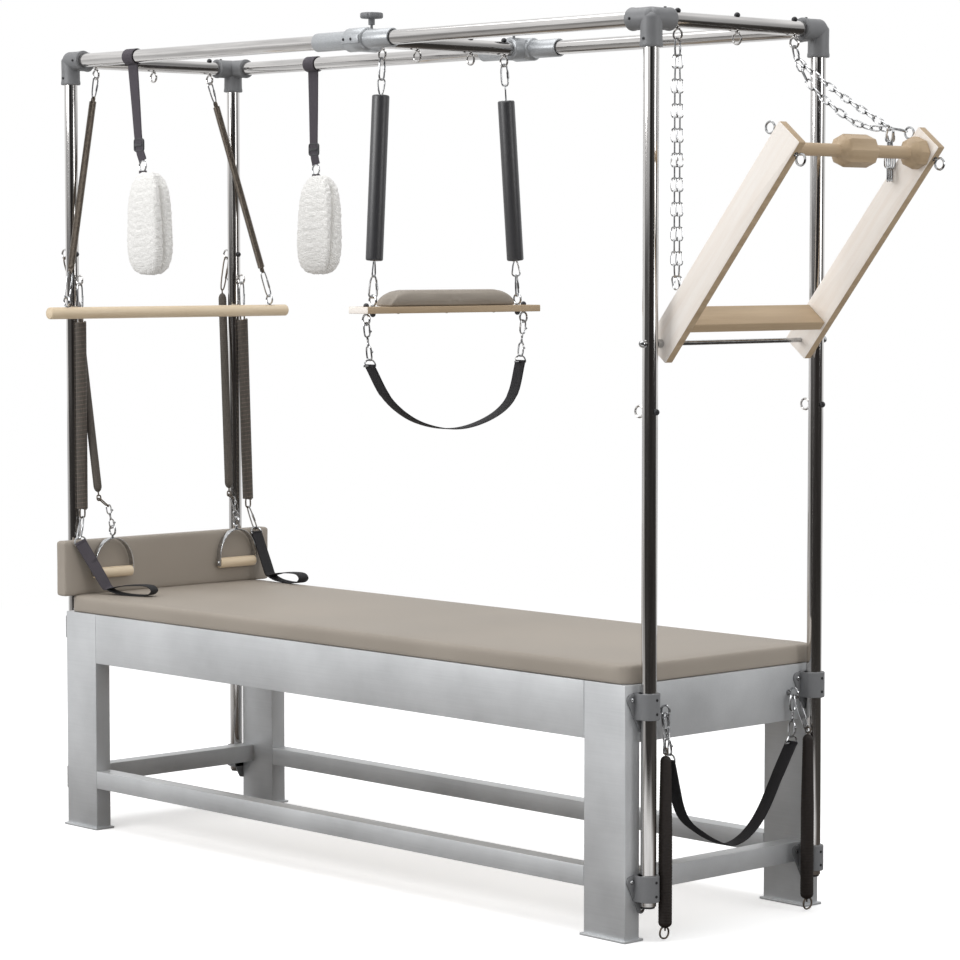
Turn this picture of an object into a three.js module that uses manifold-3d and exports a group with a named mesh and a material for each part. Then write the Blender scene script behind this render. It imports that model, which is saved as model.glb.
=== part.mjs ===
// Pilates trapeze table. Lengths are millimetres, up is +Z.
// X runs along the bed from the headboard to the push bar. Y runs across the bed, the near side is -Y.
import * as THREE from 'three';
import { mergeVertices } from 'three/addons/utils/BufferGeometryUtils.js';
import Module from 'manifold-3d';

const wasm = await Module();
wasm.setup();

// Facet counts and tolerances
const tubeSides = 14;
const sleeveSides = 12;
const nutSides = 6;
const screwSides = 5;
const wireSides = 4;
const wireSteps = 8;
const hookSteps = 6;
const chainSides = 3;
const cornerSteps = 6;
const boreSides = 10;
const bandSides = 16;
const mendTolerance = 0.1;
const weldDistance = 1e-3;
const straightLimit = 1e-6;
const steepShare = 0.9;

// Base frame profiles
const profileWide = 140;
const profileThin = 50;
const endX = 1130;
const sideY = 351;
const apronTop = 622;
const railTop = 170;
const railHigh = 50;
const footThick = 6;
const footOver = 8;
const seamGap = 0.4;

// Tube frame
const tubeHeight = 2206;
const tubeRadius = 19;
const tubeWall = 2.5;
const boreRadius = tubeRadius - tubeWall;
const uprightClear = 9;
const uprightX = endX + tubeRadius + uprightClear;
const uprightIn = 52;
const uprightY = sideY - uprightIn;
const fitGap = 0.3;
const slideGap = 0.5;

// Clamp brackets on the end faces, as drops from the top of the apron and of the rail
const bracketDrops = [51, 39];
const bracketHeights = [apronTop - bracketDrops[0], railTop - bracketDrops[1]];
const strapHigh = 64;
const strapWall = 8;
const flangeThick = 6;
const flangeEarY = 34;
const flangeEarZ = 16;
const flangeEarRadius = 14;
const flangeFootZ = -54;
const flangeFootRadius = 11;
const boltHeadRadius = 6;
const boltHeadHigh = 4;
const setScrewRadius = 3.5;
const setScrewHigh = 1.5;
const setScrewSpread = 17;

// Uprights
const uprightBottom = 88;
const plugHigh = 5;
const plugRadius = 16;
const tubeStop = 22;
const upperEyeZ = 1652;
const lowerEyeZ = 1577;
const footEyeZ = 1276;

// Eyebolts
const eyeRadius = 13.5;
const eyeWire = 2.8;
const eyeReach = 16;
const shankRadius = 3.4;
const capRadius = 7.5;
const capHigh = 9;
const barEyeY = 209;

// Corner fittings
const socketWall = 9;
const socketRadius = tubeRadius + socketWall;
const socketLong = 65;
const socketDown = 68;
const socketScrewShare = 0.72;
const fittingRise = 29;

// Slider
const sliderX = 108;
const sleeveWall = 5.5;
const sleeveRadius = tubeRadius + sleeveWall;
const sleeveBack = 165;
const sleeveFront = 134;
const teeWall = 12;
const teeRadius = tubeRadius + teeWall;
const teeHalf = 36;
const teeReach = 62;
const padHalfLong = 34;
const padHalfHigh = 11;
const padProud = 3;
const padScrewShares = [-0.7, 0.14];
const hangerTopY = 219;
const spareEyeY = 96;
const sliderEyes = [-hangerTopY, -spareEyeY, spareEyeY, hangerTopY];
const knobY = 256;
const knobHeadOver = 57;
const knobHeadZ = tubeHeight + knobHeadOver;
const knobHeadHigh = 15;
const knobRadius = 30;
const knobLobeDepth = 1.6;
const knobLobes = 16;
const knobNeckRadius = 8.5;
const knobNeckHigh = 17;
const knobStemRadius = 3.5;
const knobStemOver = 22;
const knobStemEnd = tubeHeight + knobStemOver;

// Mattress, deck and headboard
const mattressLow = apronTop + seamGap;
const mattressThick = 47.6;
const mattressHigh = mattressLow + mattressThick;
const mattressCorner = 45;
const mattressEdge = 8;
const cushionShares = [[0, 1], [0.15, 0.25], [0.3, 0], [0.7, 0], [0.87, 0.25], [1, 1]];
const deckHigh = 18;
const headboardOver = 8.5;
const headboardThick = 40.5;
const headboardBack = -endX - headboardOver;
const headboardFront = headboardBack + headboardThick;
const headboardPast = 29;
const headboardY = sideY + headboardPast;
const headboardGap = 1;
const headboardTall = 157;
const headboardLow = mattressHigh + headboardGap;
const headboardTop = headboardLow + headboardTall;
const headboardRound = 9;

// Push bar
const pivotZ = 1438;
const pushTilt = 39.2;
const armWide = 80;
const armThick = 24;
const armInner = 238;
const armBelow = 28;
const armAbove = 634;
const pivotRodRadius = 6;
const pivotSpacerRadius = 10.5;
const pivotNutRadius = 9;
const pivotNutHigh = 8;
const shelfLow = 61;
const shelfThick = 25;
const shelfBack = 35;
const shelfFront = 34;
const gripIn = 48.3;
const gripAlong = armAbove - gripIn;
const gripRadius = 15.4;
const gripTenonRadius = 10;
const gripTenonLong = 12;
const blockRadius = 39;
const blockMidY = 3;
const blockMidHalf = 32;
const blockTaper = 20;
const blockFarLong = 42;
const pushEyeIn = 34;
const pushEyeAlong = armAbove - pushEyeIn;
const pushEyeOver = 20;
const pushEyeOut = armWide / 2 + pushEyeOver;

// Trapeze, which hangs from the slider's cross tube
const trapezeSway = 8;
const boardDrop = 710;
const boardHalfLong = 314;
const boardHalfWide = 38;
const boardThick = 18;
const boardLow = tubeHeight - boardDrop;
const boardTop = boardLow + boardThick;
const padHalfLength = 227;
const trapezePadIn = 3;
const trapezePadHalfWide = boardHalfWide - trapezePadIn;
const trapezePadHigh = 42;
const padShoulder = 62;
const padRiseShares = [[0, 0], [0.06, 0.3], [0.35, 0.78], [1, 1]];
const padEdgeShares = [[-1, 0.72], [-0.88, 0.94], [-0.45, 1], [0.45, 1], [0.88, 0.94], [1, 0.72]];
const upperEyeIn = 52;
const upperEyeOut = boardHalfLong - upperEyeIn;
const lowerEyeIn = 29;
const lowerEyeOut = boardHalfLong - lowerEyeIn;
const foamRadius = 23;
const coilCoreRadius = 12;
const foamBore = coilCoreRadius + slideGap;
const foamDrop = 140;
const foamTop = tubeHeight - foamDrop;
const foamOverBoard = 120;
const foamBottom = boardTop + foamOverBoard;
const boardScrewRadius = 4;
const boardScrewHigh = 2;
const boardScrewOut = 173;

// Webbing
const slingWidth = 27;
const webThick = 2.6;
const slingRingDrop = 120;
const slingRingZ = boardLow - slingRingDrop;
const slingDrop = 195;
const trapezeRingY = 273;
const slingTuckShare = 0.12;
const slingBowPower = 0.8;

// Roll-down bar, which hangs from the cross tube at the head end
const rollIn = 76;
const rollX = -uprightX + rollIn;
const rollRadius = 17;
const rollHalf = 437;
const rollDrop = 722;
const rollZ = tubeHeight - rollDrop;
const rollEyeIn = 63;
const rollEyeY = rollHalf - rollEyeIn;
const rollSpringRadius = 10.6;
const rollSpringDrop = 114;
const rollSpringTop = tubeHeight - rollSpringDrop;
const rollSpringOver = 128;
const rollSpringBottom = rollZ + rollSpringOver;

// Arm springs: the wound ones, then where each sleeved one starts from its upright's upper eye
// and where it ends over the head corner of the mattress
const thickSpringIn = 39;
const thickSpringX = -uprightX + thickSpringIn;
const thickSpringDrop = 119;
const thickSpringTop = lowerEyeZ - thickSpringDrop;
const thickSpringOver = 245;
const thickSpringBottom = mattressHigh + thickSpringOver;
const thickSpringRadius = 16.5;
const thickWire = 3.2;
const thickCurls = 16;
const thickEyeHalf = 6;
const thickEyeLong = 12;
const thickLeanFar = 22;
const sleeveSpringRadius = 12.6;
const sleeveRoundShare = 0.85;
const sleeveTops = [[-27, -265, -144], [-27, 275, -128]];
const sleeveLows = [[46, -269, 307], [46, 215, 295]];

// Leg springs and end sling at the foot end
const endEyeY = 233;
const endEyeOut = 20;
const endEyeX = endX + endEyeOut;
const endEyeDrop = 69;
const endEyeZ = apronTop - endEyeDrop;
const legSpringOut = 45;
const legSpringX = endX + legSpringOut;
const legSpringY = 258;
const legSpringDrop = 103;
const legSpringTop = endEyeZ - legSpringDrop;
const legSpringBottom = 32;
const legSpringRadius = 16.5;
const hookAside = 4.5;
const hookLift = 3.2;
const legLoopHalf = 15;
const legLoopWire = 2.4;
const legLoopShift = 6;
const footLoopZ = 7;
const endSlingY = 222;
const endSlingOut = 22;
const endSlingX = endX + endSlingOut;
const endSlingRingDrop = 106;
const endSlingTop = endEyeZ - endSlingRingDrop;
const endSlingDrop = 245;

// Chains: the slack end's points are measured from the quick link that it starts at
const linkLong = 36;
const linkHalfWide = 10.5;
const linkWire = 1.9;
const linkBite = 0.44;
const linkPower = 0.6;
const chainApart = 9;
const chainDrop = 86;
const nearChainTop = tubeHeight - chainDrop;
const nearChainLong = 552;
const nearChainLow = nearChainTop - nearChainLong;
const quickLong = 30;
const chainSlack = [[44.5, 5, -77.5], [162.5, 17, -169.5], [252.5, 15, -182.5]];
const chainGather = [-14, -28, -14];
const chainBunch = 130;
const chainBunchApart = 8;

// Small hardware
const snapEyeShare = 0.42;
const snapHalfWide = 8;
const snapWire = 2.2;
const snapBarrel = 4;
const deeHalf = 15;
const deeHigh = 17;
const deeWire = 2.2;
const quickHalfWide = 9.5;
const carabHalfWide = 10;
const hangerWire = 2.6;
const hangerLoopLong = 42;
const hangerLoopHalf = 12;
const hangerLoopLow = 42;
const springEyeLong = 24;
const springNeckRadius = 2.4;

// D handles: where the top of each arch hangs over the head end of the bed, then the strip, bolt and grip
const handleTops = [[48, -219, 159], [48, 242, 159]];
const snapMids = [[48, -234, 248], [48, 227, 248]];
const handleHalf = 68;
const handleArchShare = 1.2;
const handleHigh = 108;
const handleStripWide = 20;
const handleStripThick = 3;
const handleBoltOut = 6;
const handleBoltRadius = 4;
const handleGripRadius = 15.5;
const handleEyeReach = 9;

// Strap loops over the head end of the bed: D ring top, bend at the mattress and far end of the loop
const strapDees = [[39, -338, 168], [36, 328, 172]];
const strapBends = [[86, -268, 3.4], [60, 340, 3.4]];
const strapEnds = [[232, -216, 3.4], [245, 333, 3.4]];
const loopRise = 28;
const loopPower = 0.7;

// Fleece loops on the long tubes: the X of each wrap, buckle, D ring and fleece, then the sizes
const wrapXs = [-862, -785];
const buckleXs = [-836, -783];
const fleeceRingXs = [-819, -774];
const fleeceXs = [-790, -758];
const fleeceWebWide = 46;
const fleeceHangWide = 33;
const buckleDrop = 248;
const buckleZ = tubeHeight - buckleDrop;
const buckleHigh = 38;
const buckleThick = 9;
const deeDrop = 44;
const fleeceRingZ = buckleZ - deeDrop - deeHalf;
const fleeceDrop = 76;
const fleeceTop = buckleZ - fleeceDrop;
const fleeceTall = 288;
const fleeceHalf = 110;
const fleeceDeep = 60;
const fleeceRound = 72;
const fleeceSoft = 14;
const fleeceWall = 52;
const fleeceSlit = 26;
const slitRoundShare = 0.9;

// Colours
const steel = { color: 0xb9bcc0, roughness: 0.22, metalness: 1 };
const alu = { color: 0xc9cccf, roughness: 0.45, metalness: 0.9 };
const cast = { color: 0x85888b, roughness: 0.55, metalness: 0.6 };
const zinc = { color: 0xc4c6c8, roughness: 0.3, metalness: 1 };
const wood = { color: 0xe3cfb0, roughness: 0.6, metalness: 0 };
const taupe = { color: 0x9d9389, roughness: 0.65, metalness: 0 };
const foamGrey = { color: 0x3c3e42, roughness: 0.9, metalness: 0 };
const springGrey = { color: 0x5b524b, roughness: 0.5, metalness: 0.5 };
const black = { color: 0x17171a, roughness: 0.85, metalness: 0 };
const fleece = { color: 0xf2f1ec, roughness: 1, metalness: 0 };

// Solid helpers
const V = (x, y, z) => new THREE.Vector3(x, y, z);
const upAxis = V(0, 0, 1);

function toSolid(geometry) {
  const bare = geometry.clone();
  bare.deleteAttribute('normal');
  bare.deleteAttribute('uv');
  const merged = mergeVertices(bare, weldDistance);
  const mesh = new wasm.Mesh({
    numProp: 3,
    vertProperties: new Float32Array(merged.attributes.position.array),
    triVerts: new Uint32Array(merged.index.array),
  });
  return new wasm.Manifold(mesh);
}

function join(parts) {
  return parts.reduce((whole, next) => whole.add(next));
}

function cut(base, tools) {
  return tools.reduce((whole, next) => whole.subtract(next), base);
}

function toMesh(name, solid, look) {
  const data = solid.asOriginal().simplify(mendTolerance).getMesh();
  const geometry = new THREE.BufferGeometry();
  const places = new Float32Array(data.vertProperties);
  geometry.setAttribute('position', new THREE.BufferAttribute(places, 3));
  geometry.setIndex(new THREE.BufferAttribute(new Uint32Array(data.triVerts), 1));
  geometry.computeVertexNormals();
  const mesh = new THREE.Mesh(geometry, new THREE.MeshStandardMaterial(look));
  mesh.name = name;
  return mesh;
}

function rod(from, to, radius, sides = tubeSides, radiusTo = radius) {
  const along = to.clone().sub(from);
  const geometry = new THREE.CylinderGeometry(radiusTo, radius, along.length(), sides);
  const turn = new THREE.Quaternion().setFromUnitVectors(V(0, 1, 0), along.clone().normalize());
  const middle = from.clone().addScaledVector(along, 1 / 2);
  geometry.applyMatrix4(new THREE.Matrix4().compose(middle, turn, V(1, 1, 1)));
  return toSolid(geometry);
}

function block(x0, x1, y0, y1, z0, z1) {
  const geometry = new THREE.BoxGeometry(x1 - x0, y1 - y0, z1 - z0);
  geometry.translate((x0 + x1) / 2, (y0 + y1) / 2, (z0 + z1) / 2);
  return toSolid(geometry);
}

function bore(from, to, radius, sides = boreSides) {
  // a hole whose flats stand at the radius, so that a round bar of that radius passes
  return rod(from, to, radius / Math.cos(Math.PI / sides), sides);
}

function turned(at, direction, profile, sides = tubeSides) {
  // a turned piece: its profile gives the height along the direction and the radius there
  const guess = Math.abs(direction.z) < steepShare ? upAxis : V(1, 0, 0);
  const u = guess.clone().cross(direction).normalize();
  const v = direction.clone().cross(u);
  return stack(profile.map(([high, radius]) => {
    const centre = at.clone().addScaledVector(direction, high);
    return loopPoints(centre, u, v, radius, radius, sides);
  }));
}

function wire(points, radius, sides = wireSides, closed = false) {
  // a round wire through points, carried along with a frame that doesn't twist
  const count = points.length;
  const at = (i) => points[(i + count) % count];
  const bends = points.map((p, i) => {
    const next = closed || i < count - 1 ? at(i + 1).clone().sub(p).normalize() : null;
    const last = closed || i > 0 ? p.clone().sub(at(i - 1)).normalize() : next;
    return [last, next || last];
  });
  const tangents = bends.map(([last, next]) => last.clone().add(next).normalize());
  const guess = Math.abs(tangents[0].z) < steepShare ? upAxis : V(1, 0, 0);
  let side = guess.clone().cross(tangents[0]).normalize();
  const vertices = [];
  points.forEach((p, i) => {
    side = side.clone().addScaledVector(tangents[i], -side.dot(tangents[i])).normalize();
    const other = tangents[i].clone().cross(side);
    const [last, next] = bends[i];
    const inward = next.clone().sub(last).normalize();
    const mitre = 1 / Math.max(last.dot(tangents[i]), 1 / 2) - 1;
    for (let k = 0; k < sides; k += 1) {
      const a = (2 * Math.PI * k) / sides;
      const round = side.clone().multiplyScalar(radius * Math.cos(a));
      round.addScaledVector(other, radius * Math.sin(a));
      const v = p.clone().add(round).addScaledVector(inward, mitre * round.dot(inward));
      vertices.push(v.x, v.y, v.z);
    }
  });
  const faces = [];
  const rings = closed ? count : count - 1;
  for (let i = 0; i < rings; i += 1) {
    const j = (i + 1) % count;
    for (let k = 0; k < sides; k += 1) {
      const m = (k + 1) % sides;
      faces.push(i * sides + k, i * sides + m, j * sides + m);
      faces.push(i * sides + k, j * sides + m, j * sides + k);
    }
  }
  if (!closed) {
    for (let k = 1; k < sides - 1; k += 1) {
      faces.push(0, k + 1, k);
      const last = (count - 1) * sides;
      faces.push(last, last + k, last + k + 1);
    }
  }
  const geometry = new THREE.BufferGeometry();
  geometry.setAttribute('position', new THREE.BufferAttribute(new Float32Array(vertices), 3));
  geometry.setIndex(faces);
  return toSolid(geometry);
}

function loopPoints(centre, u, v, halfU, halfV, steps) {
  // an oval in the plane of u and v
  return Array.from({ length: steps }, (_, i) => {
    const a = (2 * Math.PI * i) / steps;
    return centre.clone().addScaledVector(u, halfU * Math.cos(a)).addScaledVector(v, halfV * Math.sin(a));
  });
}

function ring(centre, u, v, radius, wireRadius, steps = wireSteps) {
  return wire(loopPoints(centre, u, v, radius, radius, steps), wireRadius, wireSides, true);
}

function link(from, to, toward, halfWide, wireRadius, taper = 1, steps = hookSteps, sides = wireSides) {
  // a closed link that spans from one bearing point to another, wide across, narrower at its start by taper
  const along = to.clone().sub(from);
  const half = along.length() / 2;
  along.normalize();
  const across = toward.clone().addScaledVector(along, -toward.dot(along)).normalize();
  const middle = from.clone().add(to).multiplyScalar(1 / 2);
  const fullReach = Math.cos(Math.PI / steps) ** linkPower;
  const points = Array.from({ length: steps }, (_, i) => {
    const a = (2 * Math.PI * (i + 1 / 2)) / steps;
    const c = Math.cos(a);
    const s = Math.sin(a);
    const share = (1 + c) / 2;
    const wide = halfWide * (taper + (1 - taper) * share);
    const round = Math.sign(s) * Math.abs(s) ** linkPower;
    const straight = (Math.sign(c) * Math.abs(c) ** linkPower) / fullReach;
    return middle.clone().addScaledVector(along, half * straight).addScaledVector(across, wide * round);
  });
  return wire(points, wireRadius, sides, true);
}

function ribbon(points, widths, wide, thicks) {
  // a flat band through points, its width along the given direction at each point
  const count = points.length;
  const vertices = [];
  points.forEach((p, i) => {
    const before = points[Math.max(i - 1, 0)];
    const after = points[Math.min(i + 1, count - 1)];
    const tangent = after.clone().sub(before).normalize();
    const across = (Array.isArray(widths) ? widths[i] : widths).clone();
    across.addScaledVector(tangent, -across.dot(tangent)).normalize();
    const normal = tangent.clone().cross(across);
    const thick = Array.isArray(thicks) ? thicks[i] : thicks;
    [[-1, -1], [1, -1], [1, 1], [-1, 1]].forEach(([a, b]) => {
      const v = p.clone().addScaledVector(across, (a * wide) / 2).addScaledVector(normal, (b * thick) / 2);
      vertices.push(v.x, v.y, v.z);
    });
  });
  const faces = [];
  for (let i = 0; i < count - 1; i += 1) {
    for (let k = 0; k < 4; k += 1) {
      const m = (k + 1) % 4;
      const a = i * 4;
      const b = a + 4;
      faces.push(a + k, a + m, b + m, a + k, b + m, b + k);
    }
  }
  const last = (count - 1) * 4;
  faces.push(0, 2, 1, 0, 3, 2, last, last + 1, last + 2, last, last + 2, last + 3);
  const geometry = new THREE.BufferGeometry();
  geometry.setAttribute('position', new THREE.BufferAttribute(new Float32Array(vertices), 3));
  geometry.setIndex(faces);
  const solid = toSolid(geometry);
  return solid.volume() < 0 ? toSolid(flipped(geometry)) : solid;
}

function flipped(geometry) {
  const copy = geometry.clone();
  const index = Array.from(copy.index.array);
  for (let i = 0; i < index.length; i += 3) {
    [index[i], index[i + 1]] = [index[i + 1], index[i]];
  }
  copy.setIndex(index);
  return copy;
}

function prism(outline, toWorld, depth) {
  // an outline drawn flat, pushed along its own normal, then placed
  const shape = new THREE.Shape(outline.map(([a, b]) => new THREE.Vector2(a, b)));
  const geometry = new THREE.ExtrudeGeometry(shape, { depth, bevelEnabled: false });
  geometry.applyMatrix4(toWorld);
  return toSolid(geometry);
}

function placed(xDir, yDir, zDir, origin) {
  return new THREE.Matrix4().makeBasis(xDir, yDir, zDir).setPosition(origin);
}

function roundedOutline(halfA, halfB, corner, steps = 5) {
  const points = [];
  [[1, 1], [-1, 1], [-1, -1], [1, -1]].forEach(([a, b], quarter) => {
    for (let i = 0; i <= steps; i += 1) {
      const angle = ((quarter + i / steps) * Math.PI) / 2;
      const x = a * (halfA - corner) + corner * Math.cos(angle);
      const y = b * (halfB - corner) + corner * Math.sin(angle);
      points.push([x, y]);
    }
  });
  return points;
}

// An eyebolt through a tube: ring on one side, ball nut on the other
function eyebolt(at, direction, ringAcross, through) {
  const ringCentre = at.clone().addScaledVector(direction, through + eyeReach);
  const grip = through - tubeWall / 2;
  return join([
    turned(at, direction, [
      [-through - capHigh, capRadius / 2],
      [-through - capHigh / 2, capRadius],
      [-grip, capRadius],
    ], nutSides),
    turned(at, direction, [
      [grip, shankRadius],
      [through + eyeReach - eyeRadius, shankRadius],
    ], wireSides),
    ring(ringCentre, direction, ringAcross, eyeRadius, eyeWire),
  ]);
}

const sidesOf = [['near', -1], ['far', 1]];
const endsOf = [['head', -1], ['foot', 1]];

// Base frame
const sorted = (...values) => values.sort((a, b) => a - b);

function bracket(end, side, height) {
  // a flange on the end face with a strap round the upright, two set screws and three bolts
  const y = side * uprightY;
  const out = V(end, 0, 0);
  const face = end * endX;
  const tubeX = end * uprightX;
  const half = strapHigh / 2;
  const outer = tubeRadius + strapWall;
  const ears = [
    [-flangeEarY, flangeEarZ, flangeEarRadius],
    [flangeEarY, flangeEarZ, flangeEarRadius],
    [0, flangeFootZ, flangeFootRadius],
  ];
  const rims = ears.flatMap(([cy, cz, r]) => Array.from({ length: cornerSteps }, (_, i) => {
    const a = (2 * Math.PI * i) / cornerSteps;
    return [cy + r * Math.cos(a), cz + r * Math.sin(a)];
  }));
  const back = V(end > 0 ? face - seamGap : face - flangeThick, y, height);
  const upright = placed(V(0, 1, 0), V(0, 0, 1), V(1, 0, 0), back);
  const flange = prism(hull(rims), upright, flangeThick + seamGap);
  const strap = rod(V(tubeX, y, height - half), V(tubeX, y, height + half), outer, boreSides);
  const [x0, x1] = sorted(face, tubeX);
  const web = block(x0, x1, y - outer, y + outer, height - half, height + half);
  const screws = [-1, 1].map((k) => {
    const foot = V(tubeX + end * (outer - strapWall / 2), y, height + k * setScrewSpread);
    return rod(foot, foot.clone().setX(tubeX + end * (outer + setScrewHigh)), setScrewRadius, screwSides);
  });
  const bolts = ears.map(([cy, cz]) => {
    const foot = V(face, y + cy, height + cz);
    const head = foot.clone().addScaledVector(out, flangeThick + boltHeadHigh);
    return rod(foot, head, boltHeadRadius, nutSides);
  });
  return join([flange, strap, web, ...screws, ...bolts]);
}

function hull(points) {
  const inOrder = [...points].sort((a, b) => a[0] - b[0] || a[1] - b[1]);
  const turn = (o, a, b) => (a[0] - o[0]) * (b[1] - o[1]) - (a[1] - o[1]) * (b[0] - o[0]);
  const half = (list) => list.reduce((edge, p) => {
    while (edge.length > 1 && turn(edge[edge.length - 2], edge[edge.length - 1], p) <= straightLimit) {
      edge.pop();
    }
    edge.push(p);
    return edge;
  }, []);
  const low = half(inOrder);
  const high = half([...inOrder].reverse());
  return [...low.slice(0, -1), ...high.slice(0, -1)];
}

function endFrame(end) {
  const inX = endX - profileWide;
  const parts = [];
  sidesOf.forEach(([, side]) => {
    const x = sorted(end * inX, end * endX);
    const y = sorted(side * (sideY - profileThin), side * sideY);
    parts.push(block(x[0], x[1], y[0], y[1], footThick / 2, apronTop));
    parts.push(block(x[0] - footOver, x[1] + footOver, y[0] - footOver, y[1] + footOver, 0, footThick));
  });
  const xs = sorted(end * (endX - profileThin), end * endX);
  const reach = sideY - profileThin / 2;
  parts.push(block(xs[0], xs[1], -reach, reach, apronTop - profileWide, apronTop));
  parts.push(block(xs[0], xs[1], -reach, reach, railTop - railHigh, railTop));
  const bores = [];
  sidesOf.forEach(([, side]) => {
    bracketHeights.forEach((height) => parts.push(bracket(end, side, height)));
    const foot = V(end * uprightX, side * uprightY, 0);
    bores.push(bore(foot, foot.clone().setZ(apronTop), tubeRadius + fitGap));
    if (end > 0) {
      parts.push(endEye(side));
    }
  });
  return cut(join(parts), bores);
}

function endEye(side) {
  // a screw eye in the end apron that carries a leg spring and one end of the sling
  const y = side * endEyeY;
  return join([
    turned(V(endX, y, endEyeZ), V(1, 0, 0), [
      [-footThick, capRadius],
      [boltHeadHigh / 2, capRadius],
      [boltHeadHigh / 2, shankRadius],
      [endEyeX - eyeRadius - endX, shankRadius],
    ], nutSides),
    ring(V(endEyeX, y, endEyeZ), V(1, 0, 0), V(0, 0, 1), eyeRadius, eyeWire),
  ]);
}

function sideBar(side, top, high) {
  const x = endX - profileWide - seamGap;
  const y = sorted(side * (sideY - profileThin), side * sideY);
  return block(-x, x, y[0], y[1], top - high, top);
}

function cushion(halfX, halfY, low, high, corner, edge) {
  // an upholstered slab with rounded plan corners, drawn in at its top and bottom edges
  const steps = 6;
  const rings = cushionShares.map(([upShare, inShare]) => {
    const inset = edge * inShare;
    const outline = roundedOutline(halfX - inset, halfY - inset, corner - inset / 2, steps);
    return outline.map(([a, b]) => V(a, b, low + upShare * (high - low)));
  });
  return stack(rings);
}

function stack(rings) {
  // closes a stack of rings that have the same number of points
  const n = rings[0].length;
  const vertices = rings.flat().flatMap((v) => [v.x, v.y, v.z]);
  const faces = [];
  for (let i = 0; i < rings.length - 1; i += 1) {
    for (let k = 0; k < n; k += 1) {
      const m = (k + 1) % n;
      faces.push(i * n + k, i * n + m, (i + 1) * n + m);
      faces.push(i * n + k, (i + 1) * n + m, (i + 1) * n + k);
    }
  }
  const last = (rings.length - 1) * n;
  for (let k = 1; k < n - 1; k += 1) {
    faces.push(0, k + 1, k);
    faces.push(last, last + k, last + k + 1);
  }
  const geometry = new THREE.BufferGeometry();
  geometry.setAttribute('position', new THREE.BufferAttribute(new Float32Array(vertices), 3));
  geometry.setIndex(faces);
  const solid = toSolid(geometry);
  return solid.volume() < 0 ? toSolid(flipped(geometry)) : solid;
}

// Tubes
function upright(end, side) {
  const x = end * uprightX;
  const y = side * uprightY;
  const top = tubeHeight - tubeStop;
  const solidBar = turned(V(x, y, uprightBottom), upAxis, [
    [-plugHigh - setScrewHigh, boltHeadRadius / 2],
    [-plugHigh, boltHeadRadius / 2],
    [-plugHigh, plugRadius],
    [0, plugRadius],
    [0, tubeRadius],
    [top - uprightBottom, tubeRadius],
  ]);
  const inside = rod(V(x, y, uprightBottom + plugHigh), V(x, y, top + plugHigh), boreRadius, boreSides);
  const tube = cut(solidBar, [inside]);
  const outward = V(end, 0, 0);
  const inward = V(-end, 0, 0);
  if (end < 0) {
    return join([tube, eyebolt(V(x, y, upperEyeZ), outward, upAxis, tubeRadius),
      eyebolt(V(x, y, lowerEyeZ), inward, upAxis, tubeRadius)]);
  }
  const eye = eyebolt(V(x, y, footEyeZ), inward, upAxis, tubeRadius);
  const past = V(0, tubeRadius * 2, 0);
  const pivot = V(x, y, pivotZ);
  const hole = bore(pivot.clone().sub(past), pivot.clone().add(past), pivotRodRadius + fitGap);
  return cut(join([tube, eye]), [hole]);
}

function pipe(from, to) {
  const along = to.clone().sub(from).normalize().multiplyScalar(tubeStop);
  const inside = rod(from.clone().sub(along), to.clone().add(along), boreRadius, boreSides);
  return cut(rod(from, to, tubeRadius), [inside]);
}

function longTube(side) {
  const reach = uprightX - tubeStop;
  const y = side * uprightY;
  return pipe(V(-reach, y, tubeHeight), V(reach, y, tubeHeight));
}

function crossTube(x, eyes) {
  const reach = uprightY - tubeStop;
  const tube = pipe(V(x, -reach, tubeHeight), V(x, reach, tubeHeight));
  const down = V(0, 0, -1);
  const bolts = eyes.map((y) => eyebolt(V(x, y, tubeHeight), down, V(1, 0, 0), tubeRadius));
  return join([tube, ...bolts]);
}

function cornerFitting(end, side) {
  // three sockets that meet, one of them closed above, each with a set screw
  const c = V(end * uprightX, side * uprightY, tubeHeight);
  const inX = V(-end, 0, 0);
  const inY = V(0, -side, 0);
  const down = V(0, 0, -1);
  const on = (direction, far) => c.clone().addScaledVector(direction, far);
  const body = join([
    rod(c, on(inX, socketLong), socketRadius, sleeveSides),
    rod(c, on(inY, socketLong), socketRadius, sleeveSides),
    rod(on(down, -fittingRise), on(down, socketDown), socketRadius, sleeveSides),
  ]);
  const sockets = [[inX, socketLong], [inY, socketLong], [down, socketDown]];
  const bores = sockets.map(([direction, long]) =>
    bore(on(direction, tubeStop - fitGap), on(direction, long + fitGap), tubeRadius + fitGap));
  const screwAt = [[inX, V(0, side, 0)], [inY, V(0, 0, 1)], [down, V(0, side, 0)]];
  const screws = screwAt.map(([direction, outward]) => {
    const foot = on(direction, socketLong * socketScrewShare);
    const from = foot.clone().addScaledVector(outward, socketRadius - setScrewHigh);
    const to = foot.clone().addScaledVector(outward, socketRadius + setScrewHigh);
    return rod(from, to, setScrewRadius, screwSides);
  });
  return cut(join([body, ...screws]), bores);
}

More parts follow.
